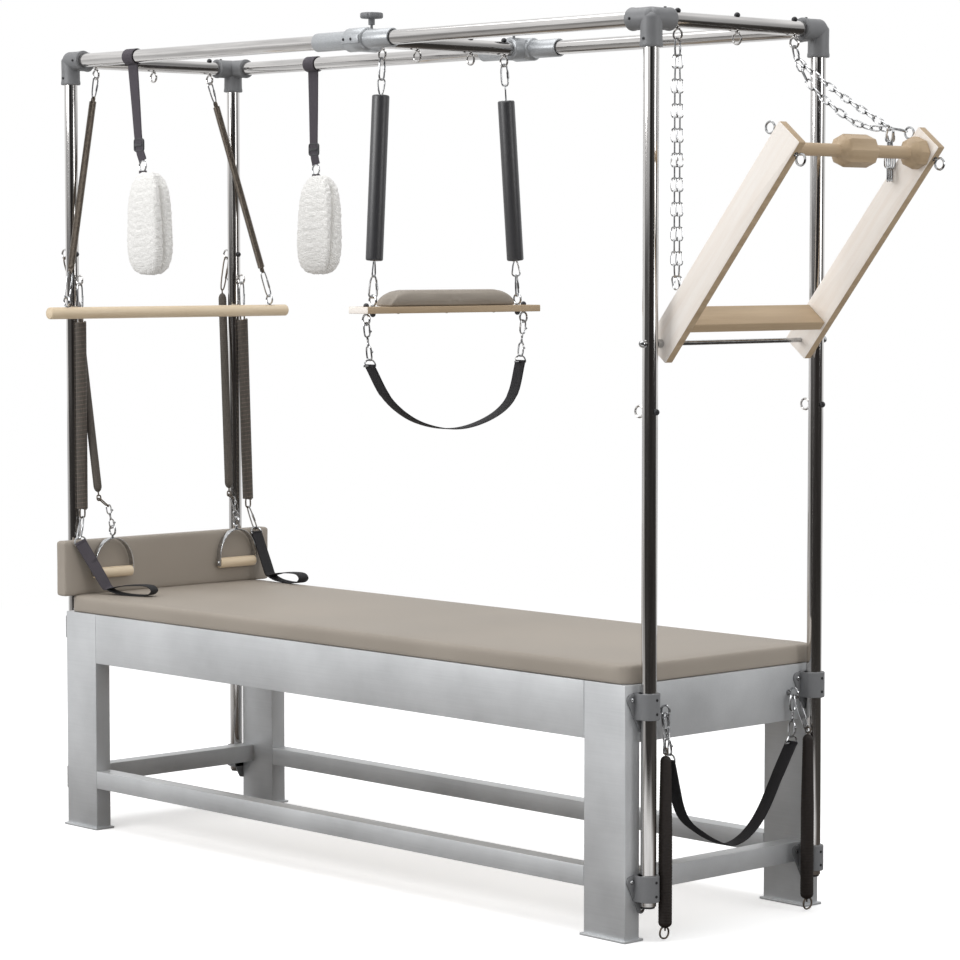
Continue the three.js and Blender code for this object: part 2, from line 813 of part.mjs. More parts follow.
// Slider
function collar(side) {
  // a sleeve on the long tube, a tee for the cross tube, a side pad with two screws and a knob hole
  const y = side * uprightY;
  const c = V(sliderX, y, tubeHeight);
  const onX = (x) => V(sliderX + x, y, tubeHeight);
  const padOut = y + side * (teeRadius + padProud);
  const [padY0, padY1] = sorted(y, padOut);
  const screws = padScrewShares.map((share) => {
    const foot = onX(share * padHalfLong).setY(y + side * teeRadius);
    return rod(foot, foot.clone().setY(padOut + side * setScrewHigh), setScrewRadius, screwSides);
  });
  const body = join([
    rod(onX(-sleeveBack), onX(sleeveFront), sleeveRadius, sleeveSides),
    rod(onX(-teeHalf), onX(teeHalf), teeRadius, sleeveSides),
    rod(c, c.clone().setY(y - side * teeReach), teeRadius, sleeveSides),
    block(sliderX - padHalfLong, sliderX + padHalfLong, padY0, padY1, tubeHeight - padHalfHigh,
      tubeHeight + padHalfHigh),
    ...screws,
  ]);
  const crossEnd = V(sliderX, side * (uprightY - tubeStop + fitGap), tubeHeight);
  const knobFoot = V(sliderX, side * knobY, tubeHeight + tubeRadius);
  return cut(body, [
    bore(onX(-sleeveBack * 2), onX(sleeveFront * 2), tubeRadius + slideGap),
    bore(crossEnd, crossEnd.clone().setY(0), tubeRadius + fitGap),
    bore(knobFoot, knobFoot.clone().setZ(knobHeadZ), knobStemRadius + fitGap),
  ]);
}

function knob(side) {
  const foot = V(sliderX, side * knobY, knobHeadZ);
  const steps = knobLobes * 2;
  const outline = Array.from({ length: steps }, (_, i) => {
    const a = (2 * Math.PI * i) / steps;
    const r = knobRadius - knobLobeDepth * (i % 2);
    return [r * Math.cos(a), r * Math.sin(a)];
  });
  const head = prism(outline, placed(V(1, 0, 0), V(0, 1, 0), V(0, 0, 1), foot), knobHeadHigh);
  return join([head, turned(foot, upAxis, [
    [knobStemEnd - knobHeadZ, knobStemRadius],
    [-knobNeckHigh, knobStemRadius],
    [-knobNeckHigh, knobNeckRadius],
    [knobHeadHigh / 2, knobNeckRadius],
  ], boreSides)]);
}

// Push bar
const tiltAngle = (pushTilt * Math.PI) / 180;
const pushUp = V(Math.sin(tiltAngle), 0, Math.cos(tiltAngle));
const pushOut = V(Math.cos(tiltAngle), 0, -Math.sin(tiltAngle));
const pushSide = pushUp.clone().cross(pushOut);
const pushAt = (along, out, y) =>
  V(uprightX, y, pivotZ).addScaledVector(pushUp, along).addScaledVector(pushOut, out);

function pushArm(side) {
  // a flat arm with an eye screw in each edge near its top, bored for the pivot rod and the grip
  const y0 = side > 0 ? armInner : -armInner - armThick;
  const half = armWide / 2;
  const outline = [[-armBelow, -half], [armAbove, -half], [armAbove, half], [-armBelow, half]];
  const plank = prism(outline, placed(pushUp, pushOut, pushSide, pushAt(0, 0, y0)), armThick);
  const middle = side * (armInner + armThick / 2);
  const eyes = [-1, 1].map((k) => {
    const foot = pushAt(pushEyeAlong, k * (half - shankRadius), middle);
    const neck = pushAt(pushEyeAlong, k * (pushEyeOut - eyeRadius), middle);
    const centre = pushAt(pushEyeAlong, k * pushEyeOut, middle);
    return join([
      rod(foot, neck, shankRadius, nutSides),
      ring(centre, pushOut, pushUp, eyeRadius, eyeWire),
    ]);
  });
  const tenonEnd = side * (armInner + gripTenonLong + fitGap);
  return cut(join([plank, ...eyes]), [
    bore(V(uprightX, middle - armThick, pivotZ), V(uprightX, middle + armThick, pivotZ),
      pivotRodRadius + fitGap, sleeveSides),
    bore(pushAt(gripAlong, 0, side * (armInner - armThick)), pushAt(gripAlong, 0, tenonEnd),
      gripTenonRadius + fitGap, sleeveSides),
  ]);
}

function pushShelf() {
  const y = armInner - fitGap;
  const top = shelfLow + shelfThick;
  const outline = [[shelfLow, -shelfBack], [top, -shelfBack], [top, shelfFront], [shelfLow, shelfFront]];
  return prism(outline, placed(pushUp, pushOut, pushSide, pushAt(0, 0, -y)), 2 * y);
}

function pushGrip() {
  // a round bar between the arms with a tapered six-sided block at its middle and one at its far end
  const end = armInner - fitGap;
  const tip = armInner + gripTenonLong;
  const start = pushAt(gripAlong, 0, 0);
  const across = V(0, 1, 0);
  const low = blockMidY - blockMidHalf;
  const high = blockMidY + blockMidHalf;
  const farLow = armInner - blockFarLong;
  return join([
    turned(start, across, [
      [-tip, gripTenonRadius],
      [-end, gripTenonRadius],
      [-end, gripRadius],
      [end, gripRadius],
      [end, gripTenonRadius],
      [tip, gripTenonRadius],
    ], sleeveSides),
    turned(start, across, [
      [low - blockTaper, gripRadius],
      [low, blockRadius],
      [high, blockRadius],
      [high + blockTaper, gripRadius],
    ], nutSides),
    turned(start, across, [
      [farLow, gripRadius],
      [farLow + blockTaper, blockRadius],
      [end, blockRadius],
    ], nutSides),
  ]);
}

function pivotRod() {
  // one rod through both uprights and both arms, with spacers between them and domed nuts outside
  const nut = uprightY + tubeRadius + fitGap;
  const outer = uprightY - tubeRadius - fitGap;
  const inner = armInner + armThick + fitGap;
  const half = [
    [inner, pivotRodRadius],
    [inner, pivotSpacerRadius],
    [outer, pivotSpacerRadius],
    [outer, pivotRodRadius],
    [nut, pivotRodRadius],
    [nut, pivotNutRadius],
    [nut + pivotNutHigh, pivotNutRadius],
    [nut + pivotNutHigh * 2, pivotNutRadius / 2],
  ];
  const mirrored = half.map(([y, r]) => [-y, r]).reverse();
  return turned(V(uprightX, 0, pivotZ), V(0, 1, 0), [...mirrored, ...half], 8);
}

// Chain links are shaped one by one, each a quarter turn from the last, and bear on each other
function chain(points) {
  const eighth = Math.PI / 4;
  const grow = linkWire * linkBite;
  const links = points.slice(1).map((to, i) => {
    const from = points[i];
    const along = to.clone().sub(from).normalize();
    const level = V(0, 1, 0).addScaledVector(along, -along.y).normalize();
    const across = level.applyAxisAngle(along, i % 2 === 0 ? eighth : -eighth);
    const start = from.clone().addScaledVector(along, -grow);
    const end = to.clone().addScaledVector(along, grow);
    return link(start, end, across, linkHalfWide - linkWire, linkWire, 1, hookSteps, chainSides);
  });
  return join(links);
}

function alongPath(path, pitch) {
  // points one link apart along a polyline
  const curve = new THREE.CurvePath();
  for (let i = 0; i < path.length - 1; i += 1) {
    curve.add(new THREE.LineCurve3(path[i], path[i + 1]));
  }
  const total = curve.getLength();
  const count = Math.max(1, Math.round(total / pitch));
  return Array.from({ length: count + 1 }, (_, i) => curve.getPointAt(i / count));
}

// Mattress, deck and headboard
function mattress() {
  return cushion(endX, sideY, mattressLow, mattressHigh, mattressCorner, mattressEdge);
}

function deck() {
  // a panel let into the frame, notched round the four legs
  const x = endX - profileThin - seamGap;
  const y = sideY - profileThin - seamGap;
  return block(-x, x, -y, y, apronTop - deckHigh, apronTop);
}

function headboard() {
  const halfHigh = (headboardTop - headboardLow) / 2;
  const middle = (headboardTop + headboardLow) / 2;
  const ringAt = (inset, x) => roundedOutline(headboardY - inset, halfHigh - inset, headboardRound)
    .map(([a, b]) => V(x, a, middle + b));
  const soft = headboardRound / 2;
  return stack([
    ringAt(0, headboardBack),
    ringAt(0, headboardFront - soft),
    ringAt(soft / 2, headboardFront - soft / 3),
    ringAt(soft, headboardFront),
  ]);
}

// A coiled tension spring drawn as one unbroken wire, its ends straight spokes that run in to its middle
const coilGaps = [];

function coil(top, bottom, outer, wireRadius, curls, sides = 5, steps = 8) {
  const along = bottom.clone().sub(top);
  const long = along.length();
  along.normalize();
  const u = V(0, 1, 0).addScaledVector(along, -along.y).normalize();
  const v = along.clone().cross(u);
  const radius = outer - wireRadius;
  const total = curls * steps;
  const points = [];
  for (let i = 0; i <= total; i += 1) {
    const a = (2 * Math.PI * i) / steps;
    const p = top.clone().addScaledVector(along, (long * i) / total);
    points.push(p.addScaledVector(u, radius * Math.cos(a)).addScaledVector(v, radius * Math.sin(a)));
  }
  points.unshift(top.clone());
  points.push(bottom.clone());
  coilGaps.push(long / curls - 2 * wireRadius);
  return wire(points, wireRadius, sides);
}

// A double-ended snap hook: an eye at each end of a barrel
function snap(from, to, across, other) {
  const along = to.clone().sub(from);
  const eye = along.length() * snapEyeShare;
  along.normalize();
  const upper = from.clone().addScaledVector(along, eye);
  const lower = to.clone().addScaledVector(along, -eye);
  return join([
    link(from, upper, across, snapHalfWide, snapWire),
    link(lower, to, other, snapHalfWide, snapWire),
    rod(upper.clone().addScaledVector(along, -snapWire), lower.clone().addScaledVector(along, snapWire),
      snapBarrel, screwSides),
  ]);
}

// A D ring: round above, a straight bar below that carries the webbing
function deeRing(top, across, down) {
  const steps = 6;
  const points = Array.from({ length: steps + 1 }, (_, i) => {
    const a = (Math.PI * i) / steps;
    return top.clone().addScaledVector(across, deeHalf * Math.cos(a))
      .addScaledVector(down, deeHigh * (1 - Math.sin(a)));
  });
  return wire(points, deeWire, wireSides, true);
}

// Where a hook of a given wire bears in an eye: the centre line of the hook's own wire
const eyeBottom = eyeReach + eyeRadius;
const bearing = eyeWire + fitGap;
const snapHookZ = (eyeZ) => eyeZ - eyeRadius + bearing + snapWire;

// Trapeze
const tubeEyeZ = tubeHeight - tubeRadius - eyeBottom;
const hangerHook = (s) => V(sliderX, s * hangerTopY, tubeEyeZ + bearing + hangerWire);
const hangerFoot = (s) =>
  V(sliderX, trapezeSway + s * upperEyeOut, boardTop + eyeBottom - bearing - hangerWire);

function strandPoint(s, z) {
  const top = hangerHook(s);
  const bottom = hangerFoot(s);
  return top.clone().lerp(bottom, (top.z - z) / (top.z - bottom.z));
}

function hanger(s) {
  const p = (z) => strandPoint(s, z);
  const across = V(0, 1, 0);
  const onward = V(1, 0, 0);
  const wireTop = foamTop + hangerLoopLong;
  const wireLow = foamBottom - hangerLoopLow;
  const over = hangerWire + fitGap;
  return join([
    link(hangerHook(s), p(wireTop - hangerWire), across, quickHalfWide, hangerWire),
    link(p(wireTop), p(foamTop + over), onward, hangerLoopHalf, hangerWire, 1 / 2),
    rod(p(foamTop + over), p(foamBottom - over), coilCoreRadius, sleeveSides),
    link(p(foamBottom - over), p(wireLow), onward, hangerLoopHalf, hangerWire),
    link(p(wireLow + hangerWire), hangerFoot(s), across, carabHalfWide, hangerWire),
  ]);
}

function foam(s) {
  const p = (z) => strandPoint(s, z);
  const sleeve = rod(p(foamBottom), p(foamTop), foamRadius, bandSides);
  return cut(sleeve, [bore(p(foamBottom - foamRadius), p(foamTop + foamRadius), foamBore, sleeveSides)]);
}

function trapezeBoard() {
  const parts = [block(sliderX - boardHalfWide, sliderX + boardHalfWide, trapezeSway - boardHalfLong,
    trapezeSway + boardHalfLong, boardLow, boardTop)];
  const middle = boardLow + boardThick / 2;
  sidesOf.forEach(([, s]) => {
    const upper = V(sliderX, trapezeSway + s * upperEyeOut, middle);
    const lower = V(sliderX, trapezeSway + s * lowerEyeOut, middle);
    parts.push(eyebolt(upper, V(0, 0, 1), V(1, 0, 0), boardThick / 2));
    parts.push(eyebolt(lower, V(0, 0, -1), V(1, 0, 0), boardThick / 2));
  });
  [-1, 0, 1].forEach((k) => {
    const head = V(sliderX, trapezeSway + k * boardScrewOut, boardLow - boardScrewHigh);
    parts.push(rod(head, head.clone().setZ(middle), boardScrewRadius, nutSides));
  });
  return join(parts);
}

// The pad on the trapeze board: flat under, long sloping shoulders, softened long edges
function trapezePad() {
  const low = boardTop + fitGap;
  const rings = padEdgeShares.map(([sideShare, highShare]) => {
    const end = padHalfLength - trapezePadHigh * (1 - highShare) / 2;
    const rise = padRiseShares.map(([inShare, upShare]) =>
      [end - inShare * padShoulder, low + trapezePadHigh * highShare * upShare]);
    const outline = [...rise, ...rise.map(([a, b]) => [-a, b]).reverse()];
    return outline.map(([a, b]) => V(sliderX + sideShare * trapezePadHalfWide, trapezeSway + a, b));
  });
  return stack(rings);
}

// Webbing that hangs in a bow between two D rings, each on a double-ended snap
function hangingSling(spec) {
  const { x, centreY, ringY, ringZ, drop, hookX, hookZ, hookYs } = spec;
  const across = V(0, 1, 0);
  const onward = V(1, 0, 0);
  const parts = [];
  [-1, 1].forEach((s, which) => {
    const dee = V(x, centreY + s * ringY, ringZ);
    const hook = V(hookX, hookYs[which], hookZ);
    const catchPoint = dee.clone().add(V(0, 0, -deeWire / 2 - snapWire / 2));
    parts.push(snap(hook, catchPoint, across, onward));
    parts.push(deeRing(dee, across, V(0, 0, -1)));
  });
  const count = 12;
  const path = Array.from({ length: count + 1 }, (_, i) => {
    const a = (Math.PI * i) / count;
    const bow = Math.sin(a);
    const y = centreY - ringY * Math.cos(a) * (1 - slingTuckShare * bow * bow);
    return V(x, y, ringZ - deeHigh - (drop - deeHigh) * bow ** slingBowPower);
  });
  const lap = 3;
  const thicks = path.map((_, i) => (i < lap || i > count - lap ? webThick * 2 : webThick));
  parts.push(ribbon(path, onward, slingWidth, thicks));
  return join(parts);
}

// Roll-down bar: a dowel with an eye near each end, hung on two springs
const rollEyeZ = rollZ + rollRadius + eyeReach;

function rollBar() {
  const eyes = sidesOf.map(([, s]) => {
    const foot = V(rollX, s * rollEyeY, rollZ);
    return join([
      rod(foot, foot.clone().setZ(rollEyeZ - eyeRadius), shankRadius, nutSides),
      ring(foot.clone().setZ(rollEyeZ), V(1, 0, 0), V(0, 0, 1), eyeRadius, eyeWire),
    ]);
  });
  return join([rod(V(rollX, -rollHalf, rollZ), V(rollX, rollHalf, rollZ), rollRadius), ...eyes]);
}

function rollSpring(s) {
  const across = V(0, 1, 0);
  const hookTop = V(-uprightX, s * barEyeY, tubeEyeZ + bearing + snapWire);
  const hookLow = V(rollX, s * rollEyeY, rollEyeZ + eyeRadius - bearing - snapWire);
  const p = (z) => hookTop.clone().lerp(hookLow, (hookTop.z - z) / (hookTop.z - hookLow.z));
  const neckTop = p(rollSpringTop + springEyeLong / 2);
  const neckLow = p(rollSpringBottom - springEyeLong / 2);
  const along = neckLow.clone().sub(neckTop);
  const long = along.length();
  along.normalize();
  const lead = springEyeLong / 2;
  return join([
    link(neckTop.clone().addScaledVector(along, snapWire), hookTop, across, carabHalfWide, snapWire, 1 / 2),
    turned(neckTop, along, [
      [0, springNeckRadius],
      [lead, springNeckRadius],
      [lead, rollSpringRadius],
      [long - lead, rollSpringRadius],
      [long - lead, springNeckRadius],
      [long, springNeckRadius],
    ], 8),
    link(neckLow.clone().addScaledVector(along, -snapWire), hookLow, across, carabHalfWide, snapWire),
  ]);
}

// A sleeved spring: its necks, its rounded ends and its sleeve
function sleeved(top, low, radius) {
  const along = low.clone().sub(top);
  const long = along.length();
  along.normalize();
  const round = radius * sleeveRoundShare;
  return turned(top, along, [
    [-springEyeLong, springNeckRadius],
    [-radius, springNeckRadius],
    [-radius / 2, round],
    [radius / 2, radius],
    [long - radius / 2, radius],
    [long + radius / 2, round],
    [long + radius, springNeckRadius],
    [long + springEyeLong, springNeckRadius],
  ], 8);
}

// A place over the head end of the bed, measured in from the end face and up from the mattress
const overBed = ([inward, y, up]) => V(-endX + inward, y, mattressHigh + up);

// The way that each strap loop's webbing runs down from its D ring
function strapDown(which) {
  return overBed(strapBends[which]).sub(overBed(strapDees[which])).normalize();
}

// Arm springs: a wound one hooked inside each head upright, a sleeved one hooked behind it
function armCoil(s, which) {
  const across = V(0, 1, 0);
  const onward = V(1, 0, 0);
  const hookTop = V(-uprightX + tubeRadius + eyeReach, s * uprightY, snapHookZ(lowerEyeZ));
  const top = V(thickSpringX, s * uprightY, thickSpringTop);
  const bottom = V(thickSpringX + which * thickLeanFar, s * uprightY, thickSpringBottom);
  const along = bottom.clone().sub(top).normalize();
  const on = (from, far) => from.clone().addScaledVector(along, far);
  const dee = overBed(strapDees[which]).addScaledVector(strapDown(which), deeWire + snapWire + fitGap * 2);
  return join([
    link(hookTop, on(top, snapWire - thickEyeLong), across, carabHalfWide, snapWire),
    link(on(top, -thickEyeLong), top, onward, thickEyeHalf, springNeckRadius),
    coil(top, bottom, thickSpringRadius, thickWire, thickCurls),
    link(bottom, on(bottom, springEyeLong), across, thickEyeHalf, springNeckRadius),
    link(on(bottom, springEyeLong - snapWire), dee, onward, carabHalfWide, snapWire),
  ]);
}

function armSleeve(s, which) {
  const across = V(0, 1, 0);
  const [topX, topY, topUp] = sleeveTops[which];
  const top = V(-uprightX + topX, topY, upperEyeZ + topUp);
  const low = overBed(sleeveLows[which]);
  const hookTop = V(-uprightX - tubeRadius - eyeReach, s * uprightY, snapHookZ(upperEyeZ));
  const along = low.clone().sub(top).normalize();
  const on = (from, far) => from.clone().addScaledVector(along, far);
  const neckTop = on(top, -springEyeLong);
  const neckLow = on(low, springEyeLong);
  const handle = handleEye(which).add(V(0, 0, eyeRadius - bearing - snapWire * 3 / 2));
  const middle = overBed(snapMids[which]);
  return join([
    sleeved(top, low, sleeveSpringRadius),
    link(on(neckTop, snapWire), hookTop, across, carabHalfWide, snapWire),
    link(on(neckLow, -snapWire), middle, V(1, 0, 0), snapHalfWide, snapWire),
    snap(middle.clone().addScaledVector(upAxis, snapWire), handle, across, across),
  ]);
}

// D handles: a flat strip bent to an arch and a grip that turns on the bolt between its feet
const handleTop = (which) => overBed(handleTops[which]);

function handleEye(which) {
  return handleTop(which).add(V(0, 0, handleEyeReach + eyeRadius));
}

function handleBoltZ(which) {
  return handleTop(which).z - handleHigh + handleStripWide / 2;
}

function handleArch(which) {
  const { x, y, z } = handleTop(which);
  const steps = 10;
  const high = handleHalf * handleArchShare;
  const path = Array.from({ length: steps + 1 }, (_, i) => {
    const a = (Math.PI * i) / steps;
    return V(x, y - handleHalf * Math.cos(a), z - high * (1 - Math.sin(a)));
  });
  const foot = V(0, 0, high - handleHigh);
  path.unshift(path[0].clone().add(foot));
  path.push(path[path.length - 1].clone().add(foot));
  const boltZ = handleBoltZ(which);
  const reach = handleHalf + handleBoltOut;
  const eye = handleEye(which);
  return join([
    ribbon(path, V(1, 0, 0), handleStripWide, handleStripThick),
    rod(V(x, y - reach, boltZ), V(x, y + reach, boltZ), handleBoltRadius, 8),
    rod(V(x, y, z), eye.clone().add(V(0, 0, -eyeRadius)), shankRadius, nutSides),
    ring(eye, V(1, 0, 0), V(0, 0, 1), eyeRadius, eyeWire),
  ]);
}

function handleGrip(which) {
  const { x, y } = handleTop(which);
  const boltZ = handleBoltZ(which);
  const half = handleHalf - handleStripThick / 2 - fitGap;
  const at = (offset) => V(x, y + offset, boltZ);
  return cut(rod(at(-half), at(half), handleGripRadius),
    [bore(at(-handleHalf), at(handleHalf), handleBoltRadius + fitGap, 8)]);
}

// Strap loop: doubled webbing from a D ring down the headboard, opened out into a loop on the mattress
function strapLoop(which) {
  const dee = overBed(strapDees[which]);
  const bend = overBed(strapBends[which]);
  const end = overBed(strapEnds[which]);
  const down = strapDown(which);
  const start = dee.clone().addScaledVector(down, deeHigh);
  const flat = end.clone().sub(bend);
  const long = flat.length();
  flat.normalize();
  const acrossFlat = V(0, 0, 1).cross(flat).normalize();
  const lift = webThick / 2;
  const turnSteps = 4;
  const foot = bend.clone().add(V(0, 0, webThick * 2));
  const drop = Array.from({ length: turnSteps + 1 }, (_, i) => start.clone().lerp(foot, i / turnSteps));
  const acrossDown = V(1, 0, 0).cross(down).normalize();
  if (acrossDown.dot(acrossFlat) < 0) {
    acrossDown.negate();
  }
  const twist = drop.map((_, i) => acrossDown.clone().lerp(acrossFlat, (i / turnSteps) ** 2));
  const steps = 6;
  const lower = Array.from({ length: steps + 1 }, (_, i) =>
    bend.clone().addScaledVector(flat, (long * i) / steps));
  const rise = steps + 2;
  const upper = Array.from({ length: rise }, (_, i) => {
    const share = (i + 1) / rise;
    const bulge = Math.sin(Math.PI * share) ** loopPower;
    return end.clone().lerp(bend, share).add(V(0, 0, loopRise * bulge + lift * share * 2));
  });
  return join([
    deeRing(dee, acrossDown, down),
    ribbon(drop, twist, slingWidth, webThick * 2),
    ribbon([...lower, ...upper], acrossFlat, slingWidth, webThick),
  ]);
}

// Fleece loops: webbing round a long tube, a buckle and a D ring, and the padded loop that hangs from it
function fleeceStrap(s, which) {
  const [wrapX, buckleX, ringX] = [wrapXs[which], buckleXs[which], fleeceRingXs[which]];
  const y = s * uprightY;
  const outer = tubeRadius + slideGap + webThick;
  const half = fleeceWebWide / 2;
  const onward = V(1, 0, 0);
  const onTube = (x) => V(wrapX + x, y, tubeHeight);
  const wrap = rod(onTube(-half), onTube(half), outer, bandSides);
  const hole = bore(onTube(-fleeceWebWide), onTube(fleeceWebWide), tubeRadius + slideGap);
  const under = onTube(0).setZ(tubeHeight - outer + webThick / 2);
  const buckle = V(buckleX, y, buckleZ);
  const ringAt = V(ringX, y, fleeceRingZ);
  const ringTop = ringAt.clone().add(V(0, 0, deeHalf));
  const band = ribbon([under, under.clone().lerp(buckle, 1 / 2), buckle, ringTop], onward, fleeceHangWide,
    webThick * 2);
  return join([
    cut(join([wrap, band]), [hole]),
    block(buckleX - half, buckleX + half, y - buckleThick / 2, y + buckleThick / 2,
      buckleZ - buckleHigh / 2, buckleZ + buckleHigh / 2),
    ring(ringAt, onward, V(0, 0, 1), deeHalf, deeWire),
  ]);
}

function fleeceLoop(s, which) {
  const [fleeceX, ringX] = [fleeceXs[which], fleeceRingXs[which]];
  const y = s * uprightY;
  const middle = fleeceTop - fleeceTall / 2;
  const ringAt = (offset, inset) =>
    roundedOutline(fleeceHalf - inset, fleeceTall / 2 - inset, fleeceRound - inset / 2, 4)
      .map(([a, b]) => V(fleeceX + a, y + offset, middle + b));
  const half = fleeceDeep / 2;
  const body = stack([
    ringAt(-half, fleeceSoft),
    ringAt(-half / 2, 0),
    ringAt(half / 2, 0),
    ringAt(half, fleeceSoft),
  ]);
  const slitHalf = fleeceSlit / 2;
  const slitOutline = roundedOutline(slitHalf, fleeceTall / 2 - fleeceWall, slitHalf * slitRoundShare, 3);
  const slitBack = V(fleeceX, y + fleeceDeep, middle);
  const slit = prism(slitOutline, placed(V(1, 0, 0), V(0, 0, 1), V(0, -1, 0), slitBack), fleeceDeep * 2);
  const ringLow = fleeceRingZ - deeHalf;
  const hang = fleeceHangWide / 2;
  const tab = block(ringX - hang, ringX + hang, y - webThick, y + webThick,
    fleeceTop - fleeceWall, ringLow + deeWire * 2 + webThick);
  const seat = ring(V(ringX, y, fleeceRingZ), V(1, 0, 0), V(0, 0, 1), deeHalf, deeWire + fitGap);
  return cut(join([body.subtract(slit), tab]), [seat]);
}

// Leg springs hang from the end apron and finish in a wire loop just over the floor
function legSpring(s) {
  const across = V(0, 1, 0);
  const hook = V(endEyeX + hookAside, s * endEyeY, snapHookZ(endEyeZ) + hookLift);
  const neck = V(legSpringX, s * legSpringY, legSpringTop - legSpringRadius + springEyeLong);
  const top = V(legSpringX, s * legSpringY, legSpringTop - legSpringRadius);
  const low = V(legSpringX, s * legSpringY, legSpringBottom + legSpringRadius);
  const foot = V(legSpringX, s * (legSpringY + legLoopShift), footLoopZ);
  return join([
    link(hook, neck.clone().add(V(0, 0, -snapWire)), across, carabHalfWide, snapWire),
    sleeved(top, low, legSpringRadius),
    link(low.clone().setZ(legSpringBottom + snapWire), foot, across, legLoopHalf, legLoopWire),
  ]);
}

// Chains: the near one hangs doubled, the far one holds the push bar and its spare end hangs in a bunch
function nearChain() {
  const hook = V(uprightX, -barEyeY, tubeEyeZ + bearing + snapWire);
  const foot = V(uprightX, -barEyeY, nearChainTop);
  const strands = [-1, 1].map((k) => {
    const shift = V(0, k * chainApart, 0);
    const path = [
      foot.clone().add(V(0, k * quickHalfWide / 2, snapWire)),
      V(uprightX, -barEyeY, nearChainTop - linkLong).add(shift),
      V(uprightX, -barEyeY, nearChainLow + linkLong).add(shift),
      V(uprightX, -barEyeY, nearChainLow),
    ];
    return chain(alongPath(path, linkLong));
  });
  return join([link(hook, foot, V(0, 1, 0), quickHalfWide, snapWire), ...strands]);
}

function farChain() {
  const hook = V(uprightX, barEyeY, tubeEyeZ + bearing + snapWire);
  const foot = V(uprightX + quickHalfWide, barEyeY, tubeEyeZ - quickLong);
  const eye = pushAt(pushEyeAlong, -pushEyeOut, armInner + armThick / 2);
  const pull = foot.clone().sub(eye);
  const pullFlat = V(pull.x, 0, pull.z).normalize();
  const catchPoint = eye.clone().addScaledVector(pullFlat, eyeRadius - bearing - snapWire);
  const tie = catchPoint.clone().addScaledVector(pull.normalize(), quickLong);
  const gather = tie.clone().add(V(...chainGather));
  const slackPoints = chainSlack.map((offset) => foot.clone().add(V(...offset)));
  const slack = alongPath([foot, ...slackPoints, gather], linkLong);
  const bunches = [-1, 1].map((k) => {
    const out = V(0, k * chainBunchApart, 0);
    return alongPath([gather, gather.clone().add(out).add(V(0, 0, -linkLong)),
      gather.clone().add(out).add(V(0, 0, -chainBunch))], linkLong);
  });
  return join([
    link(hook, foot, V(0, 1, 0), quickHalfWide, snapWire),
    chain(alongPath([foot, tie], linkLong)),
    link(tie, catchPoint, V(0, 1, 0), quickHalfWide, snapWire),
    chain(slack),
    ...bunches.map(chain),
  ]);
}

// The whole table
const table = new THREE.Group();
table.name = 'pilates_trapeze_table';
const add = (name, solid, look) => table.add(toMesh(name, solid, look));

endsOf.forEach(([end, e]) => add(`${end}_end_frame`, endFrame(e), alu));
sidesOf.forEach(([side, s]) => {
  add(`side_apron_${side}`, sideBar(s, apronTop, profileWide), alu);
  add(`side_rail_${side}`, sideBar(s, railTop, railHigh), alu);
});
add('bed_deck', deck(), wood);
add('mattress', mattress(), taupe);
add('headboard_panel', headboard(), taupe);
endsOf.forEach(([end, e]) => sidesOf.forEach(([side, s]) => {
  add(`upright_${end}_${side}`, upright(e, s), steel);
  add(`corner_fitting_${end}_${side}`, cornerFitting(e, s), cast);
}));
sidesOf.forEach(([side, s]) => add(`long_tube_${side}`, longTube(s), steel));
endsOf.forEach(([end, e]) => {
  add(`cross_tube_${end}`, crossTube(e * uprightX, [-barEyeY, 0, barEyeY]), steel);
});
add('slider_cross_tube', crossTube(sliderX, sliderEyes), steel);
sidesOf.forEach(([side, s]) => {
  add(`slider_collar_${side}`, collar(s), cast);
  add(`slider_knob_${side}`, knob(s), cast);
  add(`push_bar_arm_${side}`, pushArm(s), wood);
});
add('push_bar_shelf', pushShelf(), wood);
add('push_bar_grip', pushGrip(), wood);
add('push_bar_pivot_rod', pivotRod(), steel);
add('push_bar_chain_near', nearChain(), zinc);
add('push_bar_chain_far', farChain(), zinc);
sidesOf.forEach(([side, s]) => {
  add(`trapeze_hanger_${side}`, hanger(s), zinc);
  add(`trapeze_foam_${side}`, foam(s), foamGrey);
});
add('trapeze_board', trapezeBoard(), wood);
add('trapeze_pad', trapezePad(), taupe);
add('trapeze_sling', hangingSling({
  x: sliderX,
  centreY: trapezeSway,
  ringY: trapezeRingY,
  ringZ: slingRingZ,
  drop: slingDrop,
  hookX: sliderX,
  hookZ: boardLow - eyeBottom + bearing + snapWire,
  hookYs: [trapezeSway - lowerEyeOut, trapezeSway + lowerEyeOut],
}), black);
add('roll_down_bar', rollBar(), wood);
sidesOf.forEach(([side, s], which) => {
  add(`roll_down_spring_${side}`, rollSpring(s), springGrey);
  add(`arm_coil_spring_${side}`, armCoil(s, which), springGrey);
  add(`arm_sleeved_spring_${side}`, armSleeve(s, which), foamGrey);
  add(`handle_arch_${side}`, handleArch(which), zinc);
  add(`handle_grip_${side}`, handleGrip(which), wood);
  add(`strap_loop_${side}`, strapLoop(which), black);
  add(`fleece_strap_${side}`, fleeceStrap(s, which), foamGrey);
  add(`fleece_loop_${side}`, fleeceLoop(s, which), fleece);
  add(`leg_spring_${side}`, legSpring(s), foamGrey);
});
add('end_sling', hangingSling({
  x: endSlingX,
  centreY: 0,
  ringY: endSlingY,
  ringZ: endSlingTop,
  drop: endSlingDrop,
  hookX: endEyeX - hookAside,
  hookZ: snapHookZ(endEyeZ) + hookLift,
  hookYs: [-endEyeY, endEyeY],
}), black);

console.log('least gap between curls, mm:', Math.min(...coilGaps).toFixed(2));

